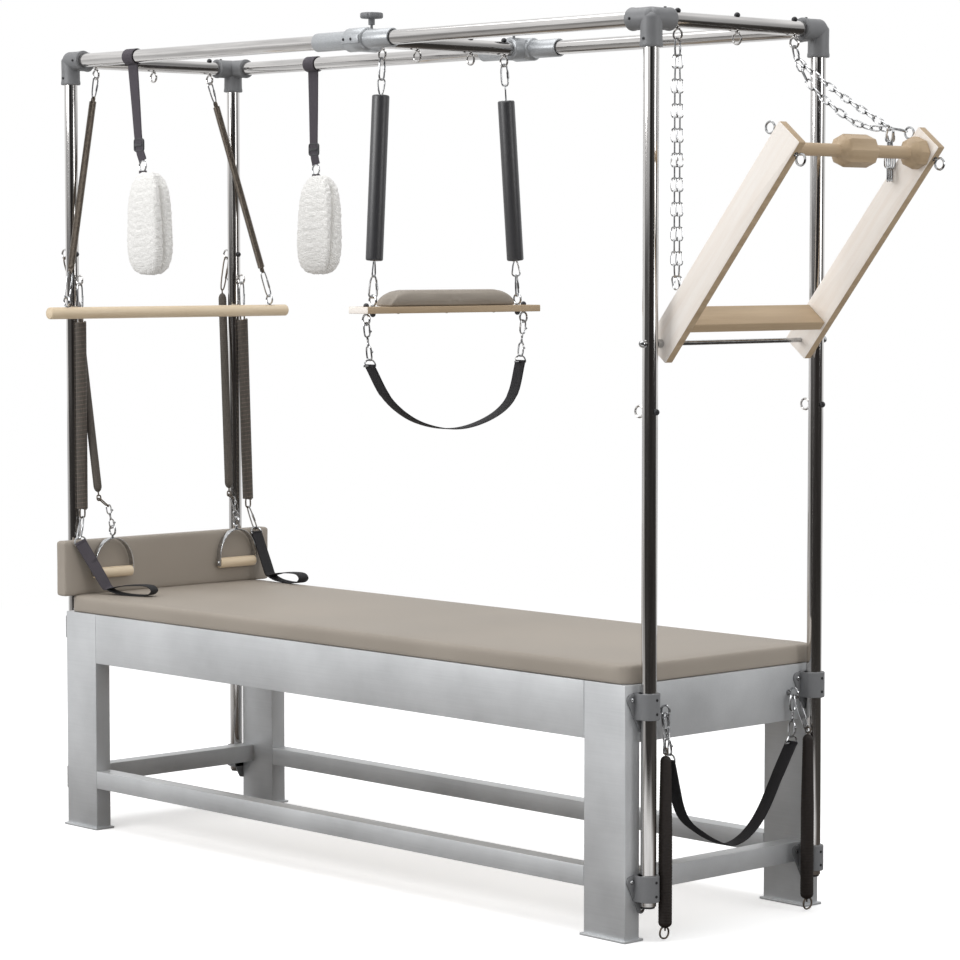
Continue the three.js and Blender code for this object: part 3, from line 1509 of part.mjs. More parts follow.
const bounds = new THREE.Box3().setFromObject(table);
const middlePoint = bounds.getCenter(V(0, 0, 0));
table.children.forEach((mesh) => mesh.geometry.translate(-middlePoint.x, -middlePoint.y, -bounds.min.z));
const shift = [middlePoint.x, middlePoint.y, bounds.min.z].map((length) => length.toFixed(3));
console.log('shift to the origin, mm:', ...shift);

export default table;
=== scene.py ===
# %% [markdown]
# # A pilates trapeze table, dressed for the studio
# The solids of the table come first, as a fixed frame that knows every body and joint.
# Each surface that follows is a formula in the same frame, so nothing has to be fitted by eye.
# Lengths below are millimetres in the workshop's own axes, and one function carries them into the
# frame in metres, because a maker thinks of a 38 mm tube and not of 0.038.

# %% Frame and units
import math
import bpy
import numpy as np
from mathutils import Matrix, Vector


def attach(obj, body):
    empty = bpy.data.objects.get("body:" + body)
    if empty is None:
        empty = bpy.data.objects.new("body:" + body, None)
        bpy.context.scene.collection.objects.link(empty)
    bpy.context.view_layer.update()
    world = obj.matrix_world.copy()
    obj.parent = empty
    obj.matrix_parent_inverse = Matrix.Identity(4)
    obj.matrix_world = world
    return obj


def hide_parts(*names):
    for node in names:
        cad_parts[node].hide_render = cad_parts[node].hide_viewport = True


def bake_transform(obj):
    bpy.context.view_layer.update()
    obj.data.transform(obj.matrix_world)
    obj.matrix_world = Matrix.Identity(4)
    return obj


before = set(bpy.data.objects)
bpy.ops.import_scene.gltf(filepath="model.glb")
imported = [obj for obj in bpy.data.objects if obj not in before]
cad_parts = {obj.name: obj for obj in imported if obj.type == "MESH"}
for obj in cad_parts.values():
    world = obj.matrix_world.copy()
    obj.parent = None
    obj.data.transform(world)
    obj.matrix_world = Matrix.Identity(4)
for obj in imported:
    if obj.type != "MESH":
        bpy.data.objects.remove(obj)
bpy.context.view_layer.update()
# The frame's origin is the middle of the table's box, the workshop's is the middle of the bed.
shift = np.array([195.315, 0.0, 0.0])


def metres(points):
    """(point - shift) / 1000: workshop millimetres to the shared frame."""
    return (np.asarray(points, float) - shift) / 1000


# %% [markdown]
# ## Camera
# The photograph's camera was found from the right angles of the bed. It stands 7.7 m off the foot
# end's near corner, 1.64 m above the floor, and looks slightly down through a long lens.
# A long lens keeps the far tubes almost as thick as the near ones, which gives the calm catalogue look.

# %% Camera
camera_place = metres([6491.6, -5845.4, 1640.5])
heading, pitch = math.radians(46.89), math.radians(-3.92)
focal_pixels, picture_pixels, sensor = 3235.63, 960, 36
camera = bpy.data.objects.new("camera", bpy.data.cameras.new("camera"))
bpy.context.scene.collection.objects.link(camera)
camera.data.sensor_width = sensor
camera.data.lens = focal_pixels / picture_pixels * sensor
camera.location = camera_place
camera.rotation_euler = (math.pi / 2 + pitch, 0, heading)
bpy.context.scene.camera = camera
print("lens", round(camera.data.lens, 1), "mm at", np.round(camera_place, 2))

# %% [markdown]
# ## Surfaces from grids
# Nearly every part is a grid of points that is closed into a skin: a turned part is a profile spun
# round an axis, a wire is a circle carried along a path, a plate is a rounded outline stacked with
# its edges drawn in. So one function makes the faces of a grid, and the rest only work out points.
# Corners carry their own place in the pattern, so that a weave meets itself where a ring closes.

# %% Grid to skin
def skin(points, around=True, along=False, ends=True, span=(1.0, 1.0)):
    """Quads join each point (i, j) to (i+1, j), (i+1, j+1) and (i, j+1); each open end closes with a fan
    to its middle. span is the pattern's length along i and round j."""
    rows, cols, _ = points.shape
    i, j = np.meshgrid(np.arange(rows if along else rows - 1), np.arange(cols if around else cols - 1),
                       indexing="ij")
    i, j = i.ravel(), j.ravel()
    ni, nj = (i + 1) % rows, (j + 1) % cols
    verts = points.reshape(-1, 3)
    quads = np.stack([i * cols + j, ni * cols + j, ni * cols + nj, i * cols + nj], 1)
    u = np.stack([i, i + 1, i + 1, i], 1) / max(rows - (0 if along else 1), 1) * span[0]
    v = np.stack([j, j, j + 1, j + 1], 1) / max(cols - (0 if around else 1), 1) * span[1]
    uv = np.stack([u, v], 2)
    tris, tri_uv = np.zeros((0, 3), int), np.zeros((0, 3, 2))
    if ends and around and not along:
        k = np.arange(cols)
        first, last = len(verts), len(verts) + 1
        verts = np.vstack([verts, points[0].mean(0), points[-1].mean(0)])
        low = np.stack([np.full(cols, first), k, (k + 1) % cols], 1)
        high = np.stack([np.full(cols, last), (rows - 1) * cols + (k + 1) % cols, (rows - 1) * cols + k], 1)
        tris = np.vstack([low, high])
        tri_uv = np.zeros((2 * cols, 3, 2))
    return outward({"v": verts, "q": quads, "t": tris, "quv": uv, "tuv": tri_uv, "m": 0})


def outward(part):
    """The sum of a.(b x c) over all faces is six volumes; where it is negative every face is turned."""
    v, q, t = part["v"] - part["v"].mean(0), part["q"], part["t"]
    tri = np.vstack([q[:, [0, 1, 2]], q[:, [0, 2, 3]], t])
    volume = np.einsum("ij,ij->i", v[tri[:, 0]], np.cross(v[tri[:, 1]], v[tri[:, 2]])).sum()
    if volume < 0:
        part["q"], part["quv"] = q[:, ::-1], part["quv"][:, ::-1]
        part["t"], part["tuv"] = t[:, ::-1], part["tuv"][:, ::-1]
    return part


def tinted(part, index):
    """The same part with another of its piece's materials."""
    return {**part, "m": index}


def all_tinted(parts, index):
    """The same for each part of a list."""
    return [tinted(part, index) for part in parts]


# %% [markdown]
# A piece is several such skins in one mesh. Its edges stay crisp where two faces meet at more than
# 40 degrees and are shaded round elsewhere, which is how a machined edge and a drawn tube look.

# %% Skins to a piece
def piece(name, parts, materials, body, stands_for=(), crease=40):
    """Joins the skins into one mesh in the frame's metres, gives it its materials and sets it on its body."""
    start, verts, loops, totals, uvs, mats = 0, [], [], [], [], []
    for part in parts:
        for faces, uv in ((part["q"], part["quv"]), (part["t"], part["tuv"])):
            if len(faces):
                loops.append((faces + start).ravel())
                totals.append(np.full(len(faces), faces.shape[1]))
                uvs.append(uv.reshape(-1, 2))
                mats.append(np.full(len(faces), part["m"]))
        verts.append(part["v"])
        start += len(part["v"])
    verts, loops, totals = metres(np.vstack(verts)), np.concatenate(loops), np.concatenate(totals)
    mesh = bpy.data.meshes.new(name)
    mesh.vertices.add(len(verts))
    mesh.vertices.foreach_set("co", verts.astype(np.float32).ravel())
    mesh.loops.add(len(loops))
    mesh.loops.foreach_set("vertex_index", loops.astype(np.int32))
    mesh.polygons.add(len(totals))
    mesh.polygons.foreach_set("loop_start", (np.cumsum(totals) - totals).astype(np.int32))
    mesh.polygons.foreach_set("material_index", np.concatenate(mats).astype(np.int32))
    mesh.update(calc_edges=True)
    layer = mesh.uv_layers.new(name="pattern")
    layer.data.foreach_set("uv", np.vstack(uvs).astype(np.float32).ravel())
    mesh.polygons.foreach_set("use_smooth", np.ones(len(totals), bool))
    mesh.set_sharp_from_angle(angle=math.radians(crease))
    mesh.validate()
    made = bpy.data.objects.new(name, mesh)
    bpy.context.scene.collection.objects.link(made)
    for material in materials if isinstance(materials, (list, tuple)) else [materials]:
        mesh.materials.append(material)
    if body:
        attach(made, body)
    if stands_for:
        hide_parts(*([stands_for] if isinstance(stands_for, str) else stands_for))
    return made


# %% [markdown]
# ## Basic forms
# These are the shapes that the whole table is made of: turned parts, wires, hooks and links, flat
# bands, and plates with softened edges. A frame of two directions is worked out for all points of a
# path at once, from one reference direction that the path never runs along.

# %% Directions
X, Y, Z = np.eye(3)


def unit(v):
    """v divided by its length, row by row."""
    v = np.asarray(v, float)
    return v / np.linalg.norm(v, axis=-1, keepdims=True)


def point(x, y, z):
    """One place or step in the workshop's axes."""
    return np.array([x, y, z], float)


def tangents(path, closed=False):
    """The direction of travel at each point: the next point minus the last."""
    if closed:
        return unit(np.roll(path, -1, 0) - np.roll(path, 1, 0))
    return unit(np.gradient(path, axis=0))


def swept(path, outline, reference, closed=False):
    """point = path + a * across + b * normal, for each (a, b) of the outline: the outline may change along
    the path, and the reference gives across once its part along the path is taken off."""
    path = np.asarray(path, float)
    t = tangents(path, closed)
    across = np.broadcast_to(reference, path.shape)
    across = unit(across - t * np.einsum("ij,ij->i", across, t)[:, None])
    normal = np.cross(t, across)
    outline = np.broadcast_to(outline, (len(path),) + np.shape(outline)[-2:])
    points = path[:, None] + outline[..., :1] * across[:, None] + outline[..., 1:] * normal[:, None]
    steps = np.linalg.norm(np.diff(path, axis=0), axis=1).sum()
    girth = np.linalg.norm(np.diff(outline[0], axis=0, append=outline[0][:1]), axis=1).sum()
    return skin(points, along=closed, ends=not closed, span=(steps / 1000, girth / 1000))


def circle(radius, sides):
    """(r cos a, r sin a) for equal steps of a."""
    a = np.linspace(0, 2 * np.pi, sides, endpoint=False)
    return np.stack([np.cos(a), np.sin(a)], 1) * radius


def wire(path, radius, reference=Z, closed=False, sides=8):
    """A round wire carried along a path."""
    return swept(path, circle(radius, sides), reference, closed)


def turned(at, direction, profile, sides=40, loop=False):
    """A profile of (height, radius) pairs spun round the line from at along direction."""
    direction = unit(direction)
    guess = Z if abs(direction[2]) < 0.9 else X
    u = unit(np.cross(guess, direction))
    w = np.cross(direction, u)
    profile = np.asarray(profile, float)
    c = circle(1, sides)
    spokes = c[:, :1] * u + c[:, 1:] * w
    points = at + profile[:, :1, None] * direction + profile[:, 1:, None] * spokes[None]
    span = (np.ptp(profile[:, 0]) / 1000, profile[:, 1].max() * 2 * np.pi / 1000)
    return skin(points, along=loop, ends=not loop, span=span)


def rod(start, end, radius, sides=32, edge=0.6):
    """A round bar with a small bevel at each end."""
    start, end = np.asarray(start, float), np.asarray(end, float)
    long = np.linalg.norm(end - start)
    return turned(start, end - start,
                  [[0, radius - edge], [edge, radius], [long - edge, radius], [long, radius - edge]], sides)


def pipe(start, end, outer, inner, sides=40):
    """A tube: its profile runs along the outside, over each lip and back along the bore, and meets itself."""
    start, end = np.asarray(start, float), np.asarray(end, float)
    long = np.linalg.norm(end - start)
    lip = 0.5
    profile = [[0, inner + lip], [0, outer - lip], [lip, outer], [long - lip, outer], [long, outer - lip],
               [long, inner + lip], [long - lip, inner], [lip, inner]]
    return turned(start, end - start, profile, sides, loop=True)


def ring(centre, normal, radius, thick, steps=28, sides=8):
    """A wire bent to a circle: centre + r (cos a u + sin a w)."""
    normal = unit(normal)
    u = unit(np.cross(normal, Z if abs(normal[2]) < 0.9 else X))
    w = np.cross(normal, u)
    c = circle(radius, steps)
    return wire(centre + c[:, :1] * u + c[:, 1:] * w, thick, normal, closed=True, sides=sides)


def oval(start, end, across, half_wide, thick, taper=1.0, power=0.6, steps=28, sides=8):
    """A closed link from one end to the other: along = sign(c)|c|^p, across = sign(s)|s|^p, and its
    width narrows towards the start by taper."""
    start, end = np.asarray(start, float), np.asarray(end, float)
    along = end - start
    half = np.linalg.norm(along) / 2
    along = unit(along)
    across = unit(across - along * (across @ along))
    a = (np.arange(steps) + 0.5) / steps * 2 * np.pi
    c, s = np.cos(a), np.sin(a)
    wide = half_wide * (taper + (1 - taper) * (1 + c) / 2)
    path = (start + end) / 2 + np.outer(half * np.sign(c) * abs(c) ** power, along)
    path = path + np.outer(wide * np.sign(s) * abs(s) ** power, across)
    return wire(path, thick, np.cross(along, across), closed=True, sides=sides)


def rounded(half_a, half_b, corner, steps=5):
    """The outline of a rectangle with quarter-circle corners."""
    q = np.linspace(0, np.pi / 2, steps)
    a = np.concatenate([q + k * np.pi / 2 for k in range(4)])
    sign_a = np.repeat([1, -1, -1, 1], steps)
    sign_b = np.repeat([1, 1, -1, -1], steps)
    return np.stack([sign_a * (half_a - corner) + corner * np.cos(a),
                     sign_b * (half_b - corner) + corner * np.sin(a)], 1)


def plate(centre, a_dir, b_dir, half_a, half_b, half_c, corner=2.0, edge=1.0, steps=4):
    """A rounded outline stacked along a_dir x b_dir, drawn in by edge * (1 - cos q) at both ends."""
    a_dir, b_dir = unit(a_dir), unit(b_dir)
    c_dir = np.cross(a_dir, b_dir)
    corner = min(corner, half_a, half_b)
    q = np.linspace(0, np.pi / 2, steps)
    inset = edge * (1 - np.sin(q))
    height = half_c - edge * (1 - np.cos(q))
    layers = [(-h, i) for h, i in zip(height, inset)] + [(h, i) for h, i in zip(height[::-1], inset[::-1])]
    rows = []
    for h, i in layers:
        o = rounded(half_a - i, half_b - i, max(corner - i, 0.01))
        rows.append(centre + o[:, :1] * a_dir + o[:, 1:] * b_dir + h * c_dir)
    girth = 4 * (half_a + half_b)
    return skin(np.array(rows), span=(2 * half_c / 1000, girth / 1000))


def box_plate(x0, x1, y0, y1, z0, z1, corner=2.0, edge=1.0, axis="z"):
    """A plate from its two corners, stacked along the named axis."""
    c = point((x0 + x1) / 2, (y0 + y1) / 2, (z0 + z1) / 2)
    h = [(x1 - x0) / 2, (y1 - y0) / 2, (z1 - z0) / 2]
    a, b, k = {"z": (X, Y, (0, 1, 2)), "x": (Y, Z, (1, 2, 0)), "y": (Z, X, (2, 0, 1))}[axis]
    return plate(c, a, b, h[k[0]], h[k[1]], h[k[2]], corner, edge)


def band(path, across, wide, thick, closed=False):
    """Flat webbing: a rounded strip carried along a path, and its thickness may change along it."""
    path = np.asarray(path, float)
    thick = np.broadcast_to(thick, len(path))
    flat = rounded(wide / 2, 1, 0.99, 3)
    outline = np.stack([np.broadcast_to(flat[:, 0], (len(path), len(flat))),
                        flat[:, 1] * thick[:, None] / 2], 2)
    return swept(path, outline, across, closed)


def smooth_path(knots, count):
    """A curve through the knots: a cubic each, whose slopes are half the step between its neighbours."""
    k = np.asarray(knots, float)
    m = np.gradient(k, axis=0)
    s = np.linspace(0, len(k) - 1, count)
    i = np.minimum(s.astype(int), len(k) - 2)
    t = (s - i)[:, None]
    a = (2 * t**3 - 3 * t**2 + 1) * k[i] + (t**3 - 2 * t**2 + t) * m[i]
    return a + (-2 * t**3 + 3 * t**2) * k[i + 1] + (t**3 - t**2) * m[i + 1]


print("forms ready: turned, pipe, wire, ring, oval, plate, band")

# %% [markdown]
# ## Shared effects
# A bare colour looks like plastic, because every real surface changes a little from place to place.
# Three effects are used again and again, so each is a group that is built once: cloud, a slow drift of
# tone; streaks, fine lines along one direction, as a drawn tube, a rolled sheet and wood grain all
# have; and weave, the small over-and-under of webbing, which follows the piece's own pattern corners.

# %% Node helpers
def new_group(name, inputs, outputs):
    """An empty node group with its sockets, and its two end nodes."""
    group = bpy.data.node_groups.new(name, "ShaderNodeTree")
    for label, kind, value in inputs:
        socket = group.interface.new_socket(label, in_out="INPUT", socket_type=kind)
        if value is not None:
            socket.default_value = value
    for label, kind in outputs:
        group.interface.new_socket(label, in_out="OUTPUT", socket_type=kind)
    return group, group.nodes.new("NodeGroupInput"), group.nodes.new("NodeGroupOutput")


def add(tree, kind, values=(), **settings):
    """A node with its settings and the plain values of its sockets."""
    node = tree.nodes.new(kind)
    for key, value in settings.items():
        setattr(node, key, value)
    for key, value in dict(values).items():
        node.inputs[key].default_value = value
    return node


def wire_up(tree, *pairs):
    """Each pair is (socket that gives, socket that takes)."""
    for give, take in pairs:
        tree.links.new(give, take)


FLOAT, VECTOR = "NodeSocketFloat", "NodeSocketVector"

# %% Cloud: two layers of noise, most of it slow and wide
cloud, g_in, g_out = new_group("cloud",
                               [("Vector", VECTOR, None), ("Scale", FLOAT, 6.0), ("Detail", FLOAT, 3.0)],
                               [("Value", FLOAT)])
noise = add(cloud, "ShaderNodeTexNoise", {"Roughness": 0.55})
wire_up(cloud, (g_in.outputs["Vector"], noise.inputs["Vector"]),
        (g_in.outputs["Scale"], noise.inputs["Scale"]),
        (g_in.outputs["Detail"], noise.inputs["Detail"]), (noise.outputs["Fac"], g_out.inputs["Value"]))

# %% Streaks: noise squeezed across and stretched along one axis
streaks, g_in, g_out = new_group("streaks", [("Vector", VECTOR, None), ("Stretch", VECTOR, (1.0, 1.0, 1.0)),
                                             ("Scale", FLOAT, 200.0)], [("Value", FLOAT)])
scale = add(streaks, "ShaderNodeVectorMath", operation="MULTIPLY")
noise = add(streaks, "ShaderNodeTexNoise", {"Detail": 4.0, "Roughness": 0.6})
wire_up(streaks, (g_in.outputs["Vector"], scale.inputs[0]), (g_in.outputs["Stretch"], scale.inputs[1]),
        (scale.outputs[0], noise.inputs["Vector"]), (g_in.outputs["Scale"], noise.inputs["Scale"]),
        (noise.outputs["Fac"], g_out.inputs["Value"]))

# %% Weave: height = |sin u| where the warp is on top and |sin v| where the weft is, checked by turns
weave, g_in, g_out = new_group("weave", [("Vector", VECTOR, None), ("Threads", FLOAT, 700.0)],
                               [("Height", FLOAT)])
turns = add(weave, "ShaderNodeVectorMath", operation="SCALE")
split = add(weave, "ShaderNodeSeparateXYZ")
waves = []
for socket in ("X", "Y"):
    wave = add(weave, "ShaderNodeMath", operation="SINE")
    size = add(weave, "ShaderNodeMath", operation="ABSOLUTE")
    wire_up(weave, (split.outputs[socket], wave.inputs[0]), (wave.outputs[0], size.inputs[0]))
    waves.append((wave, size))
product = add(weave, "ShaderNodeMath", operation="MULTIPLY")
above = add(weave, "ShaderNodeMath", {1: 0.0}, operation="GREATER_THAN")
pick = add(weave, "ShaderNodeMix")
wire_up(weave, (g_in.outputs["Vector"], turns.inputs[0]), (g_in.outputs["Threads"], turns.inputs["Scale"]),
        (turns.outputs[0], split.inputs[0]), (waves[0][0].outputs[0], product.inputs[0]),
        (waves[1][0].outputs[0], product.inputs[1]), (product.outputs[0], above.inputs[0]),
        (above.outputs[0], pick.inputs["Factor"]), (waves[0][1].outputs[0], pick.inputs["A"]),
        (waves[1][1].outputs[0], pick.inputs["B"]), (pick.outputs["Result"], g_out.inputs["Height"]))
print("effects:", [g.name for g in bpy.data.node_groups])


# %% [markdown]
# ## One way to make a finish
# Each finish starts the same way: two colours that an effect blends between, a roughness that moves
# with it, and a bump whose depth is in metres. What differs is the effect, its scale and its shader
# values, so one function builds the tree and each finish names its own numbers.

# %% Finish maker
def colour(code):
    """A screen colour such as a39a90 as the shader's linear numbers: ((c + 0.055) / 1.055) ^ 2.4."""
    c = np.array([int(code[k:k + 2], 16) for k in (0, 2, 4)]) / 255
    return tuple(np.where(c <= 0.04045, c / 12.92, ((c + 0.055) / 1.055) ** 2.4))


def finish(name, low, high, effect, effect_values, rough, metallic=0.0, depth=0.0, vector="Object",
           second=None, spread=(0.3, 0.7), **sockets):
    """Base colour = low + (high - low) * effect, roughness likewise, and a bump of that depth in metres.
    second = (group, values, share, depth) adds another effect to the tone and the bump."""
    material = bpy.data.materials.new(name)
    material.use_nodes = True
    tree = material.node_tree
    shader = tree.nodes["Principled BSDF"]
    shader.inputs["Metallic"].default_value = metallic
    for key, value in sockets.items():
        shader.inputs[key.replace("_", " ")].default_value = value
    place = add(tree, "ShaderNodeTexCoord")
    used = add(tree, "ShaderNodeGroup", node_tree=effect)
    wire_up(tree, (place.outputs[vector], used.inputs["Vector"]))
    for key, value in effect_values.items():
        used.inputs[key].default_value = value
    tone = add(tree, "ShaderNodeMapRange", {"From Min": spread[0], "From Max": spread[1]})
    wire_up(tree, (used.outputs[0], tone.inputs["Value"]))
    result = tone.outputs["Result"]
    height, bump_from = used.outputs[0], None
    if second:
        group, values, share, second_depth = second
        other = add(tree, "ShaderNodeGroup", node_tree=group)
        wire_up(tree, (place.outputs["Object"], other.inputs["Vector"]))
        for key, value in values.items():
            other.inputs[key].default_value = value
        both = add(tree, "ShaderNodeMix", {"Factor": share})
        wire_up(tree, (result, both.inputs["A"]), (other.outputs[0], both.inputs["B"]))
        result = both.outputs["Result"]
        if second_depth:
            bump_from = add(tree, "ShaderNodeBump", {"Strength": 1.0, "Distance": second_depth})
            wire_up(tree, (other.outputs[0], bump_from.inputs["Height"]))
    tint = add(tree, "ShaderNodeMix", data_type="RGBA")
    tint.inputs["A"].default_value = (*colour(low), 1)
    tint.inputs["B"].default_value = (*colour(high), 1)
    shine = add(tree, "ShaderNodeMapRange", {"To Min": rough[0], "To Max": rough[1]})
    wire_up(tree, (result, tint.inputs["Factor"]), (tint.outputs["Result"], shader.inputs["Base Color"]),
            (result, shine.inputs["Value"]), (shine.outputs["Result"], shader.inputs["Roughness"]))
    if depth:
        bump = add(tree, "ShaderNodeBump", {"Strength": 1.0, "Distance": depth})
        wire_up(tree, (height, bump.inputs["Height"]))
        if bump_from:
            wire_up(tree, (bump_from.outputs["Normal"], bump.inputs["Normal"]))
        bump_from = bump
    if bump_from:
        wire_up(tree, (bump_from.outputs["Normal"], shader.inputs["Normal"]))
    return material


# %% [markdown]
# ## The table's finishes
# The frame is raw aluminium sheet with the faint clouding of brushed and handled metal. The tubes are
# polished steel, the fittings are grey castings with a fine pebble, the covers are a matt taupe vinyl,
# and the wood is pale beech with long fine streaks that run along each board. The beech carries
# painted light and shade: the faces toward the light are painted near white, the round bars take a
# middle tan of painted shade, and the board faces that look away from the light a deeper tan of painted shade.

# %% Metals
aluminium = finish("brushed_aluminium", "bcbec0", "dfe1e3", cloud, {"Scale": 5.0, "Detail": 5.0},
                   rough=(0.36, 0.5), metallic=0.5, spread=(0.25, 0.75),
                   second=(streaks, {"Stretch": (0.02, 1.0, 1.0), "Scale": 260.0}, 0.35, 0.00002))
steel = finish("polished_tube", "b9b7b6", "dcdad8", streaks,
               {"Stretch": (1.0, 1.0, 0.03), "Scale": 160.0}, rough=(0.05, 0.10), metallic=1.0)
steel_level = finish("polished_tube_level", "b9b7b6", "dcdad8", streaks,
                     {"Stretch": (0.03, 0.03, 1.0), "Scale": 160.0}, rough=(0.06, 0.12), metallic=1.0)
bright = finish("bright_zinc", "a3a4a6", "d2d3d4", cloud, {"Scale": 90.0, "Detail": 3.0},
                rough=(0.08, 0.2), metallic=1.0)
casting = finish("cast_grey", "6e6f71", "858688", cloud, {"Scale": 1400.0, "Detail": 2.0},
                 rough=(0.42, 0.6), metallic=0.2, depth=0.00012)
sleeve_metal = finish("satin_sleeve", "9fa2a5", "bcbfc2", cloud, {"Scale": 500.0, "Detail": 2.0},
                      rough=(0.3, 0.42), metallic=0.45)
spring_steel = finish("spring_steel", "5f574f", "82786d", cloud, {"Scale": 130.0, "Detail": 3.0},
                      rough=(0.3, 0.5), metallic=0.8)
dark_bolt = finish("dark_bolt", "2c2c2e", "454547", cloud, {"Scale": 300.0, "Detail": 2.0},
                   rough=(0.35, 0.5), metallic=0.6)


# %% Wood: the same streaks along either axis
def wood(name, low, high, along):
    """Broad streaks along the grain with finer ones over them."""
    broad, fine = [tuple(share if axis == along else 1.0 for axis in "xyz") for share in (0.05, 0.12)]
    return finish(name, low, high, streaks, {"Stretch": broad, "Scale": 60.0}, rough=(0.42, 0.56),
                  depth=0.00012, second=(streaks, {"Stretch": fine, "Scale": 420.0}, 0.35, 0.00006))


# %% Covers, wood and cloth
vinyl = finish("taupe_vinyl", "968d82", "a39a8f", cloud, {"Scale": 1.8, "Detail": 3.0},
               rough=(0.52, 0.64), spread=(0.35, 0.65),
               second=(cloud, {"Scale": 900.0, "Detail": 3.0}, 0.12, 0.00018))
# The palest beech is painted light: it is the tone of the board faces toward the light.
beech = wood("beech_along_x_painted_lit", "efe4d9", "faf5ef", "x")
# The tan beech is painted shade, for the faces out of the light and for the shelf and the grip.
beech_painted_shade = wood("beech_shade_side", "a38c6f", "bda789", "y")
# The beech along y is a middle tan of painted shade, for the round bars, which get less of the light from the
# left.
beech_y_painted_shade = wood("beech_along_y_painted_shade", "d0b998", "e6d6bc", "y")
foam = finish("grip_foam", "27272a", "38383c", cloud, {"Scale": 800.0, "Detail": 3.0},
              rough=(0.34, 0.44), depth=0.0001, Specular_IOR_Level=0.95)
webbing = finish("black_webbing", "0e0e10", "2a292c", weave, {"Threads": 2600.0},
                 rough=(0.7, 0.9), vector="UV", depth=0.0003, spread=(0.1, 0.9))
charcoal = finish("charcoal_webbing", "37333a", "575259", weave, {"Threads": 2600.0},
                  rough=(0.7, 0.9), vector="UV", depth=0.0003, spread=(0.1, 0.9))
sleeve = finish("spring_sleeve", "403b36", "5c554e", streaks, {"Stretch": (1.0, 1.0, 0.1), "Scale": 500.0},
                rough=(0.6, 0.78), depth=0.0002)
sleeve_dark = finish("leg_spring_sleeve", "17100d", "271d17", streaks,
                     {"Stretch": (1.0, 1.0, 0.1), "Scale": 500.0}, rough=(0.5, 0.7), depth=0.0002)
pile = finish("fleece_pile", "e6e5e2", "f8f7f5", cloud, {"Scale": 260.0, "Detail": 4.0},
              rough=(0.9, 1.0), depth=0.002)
plywood = finish("deck_plywood", "b99d78", "d3b98f", streaks, {"Stretch": (0.04, 1.0, 1.0), "Scale": 50.0},
                 rough=(0.5, 0.65))
plastic = finish("dark_buckle", "2f2f32", "4a4a4e", cloud, {"Scale": 700.0, "Detail": 2.0},
                 rough=(0.35, 0.5), depth=0.00005)
print("finishes:", len(bpy.data.materials))

# %% Edges of a board, in painted shade
def edged(made, index):
    """The faces of a board's first material that turn more than 60 degrees away from Y take another one,
    a painted shade, since they are the faces out of the light: |n . y| < cos 60."""
    faces = made.data.polygons
    normals, slots = np.zeros(len(faces) * 3, np.float32), np.zeros(len(faces), np.int32)
    faces.foreach_get("normal", normals)
    faces.foreach_get("material_index", slots)
    side = (abs(normals.reshape(-1, 3)[:, 1]) < 0.5) & (slots == 0)
    slots[side] = index
    faces.foreach_set("material_index", slots)


# %% [markdown]
# ## The welded base
# The bed stands on four legs of 140 by 50 mm profile, mitred and welded into two end frames, with an
# apron of the same profile along each side and a 50 mm square rail near the floor. Each leg ends on a
# thin foot plate. They are plates with barely softened edges: a 2 mm radius is what makes an extruded
# bar catch a thin highlight, where a perfectly sharp edge would vanish.

# %% Sizes of the base
end_x, side_y, apron_top, rail_top = 1130, 351, 622, 170
profile_deep, profile_thick, edge_soft = 140, 50, 0.8
apron_half, cross_half = 989.6, 302
upright_x, upright_y, tube_z, tube_r = 1158, 299, 2206, 19
wall_inner = 16.5
bracket_heights = (571, 131)
sides = (("near", -1), ("far", 1))
eye_wire, eye_r, eye_reach, shank_r = 2.8, 13.5, 16, 3.4
bearing = eye_wire + 0.3


# %% Hooks and eyes
def eye_ring(centre, u, w):
    """The ring of an eye bolt, in the plane of two directions."""
    return ring(centre, np.cross(u, w), eye_r, eye_wire)


def eyebolt(at, direction, across, through):
    """A ring on a shank that passes through a tube to a domed nut on its other side."""
    at, direction = np.asarray(at, float), np.asarray(direction, float)
    dome = [[-through - h, r] for h, r in ((9.5, 0.8), (9, 3), (7, 5.8), (4, 7.5), (1, 7.5), (0, 6.8))]
    shank = [[through - 1.3, 6.4], [through + 1.2, 6.4], [through + 1.4, shank_r],
             [through + eye_reach - eye_r, shank_r]]
    return [turned(at, direction, shank, 16),
            eye_ring(at + direction * (through + eye_reach), direction, across),
            tinted(turned(at, direction, dome, 24), 1)]


# %% One leg, its foot plate and the brackets on an end face
def leg(end, side):
    """A leg and the foot plate under it."""
    x = sorted((end * (end_x - profile_deep), end * end_x))
    y = sorted((side * (side_y - profile_thick), side * side_y))
    return [box_plate(*x, *y, 3, apron_top, 2.5, edge_soft),
            box_plate(x[0] - 8, x[1] + 8, y[0] - 8, y[1] + 8, 0, 6, 4, 1)]


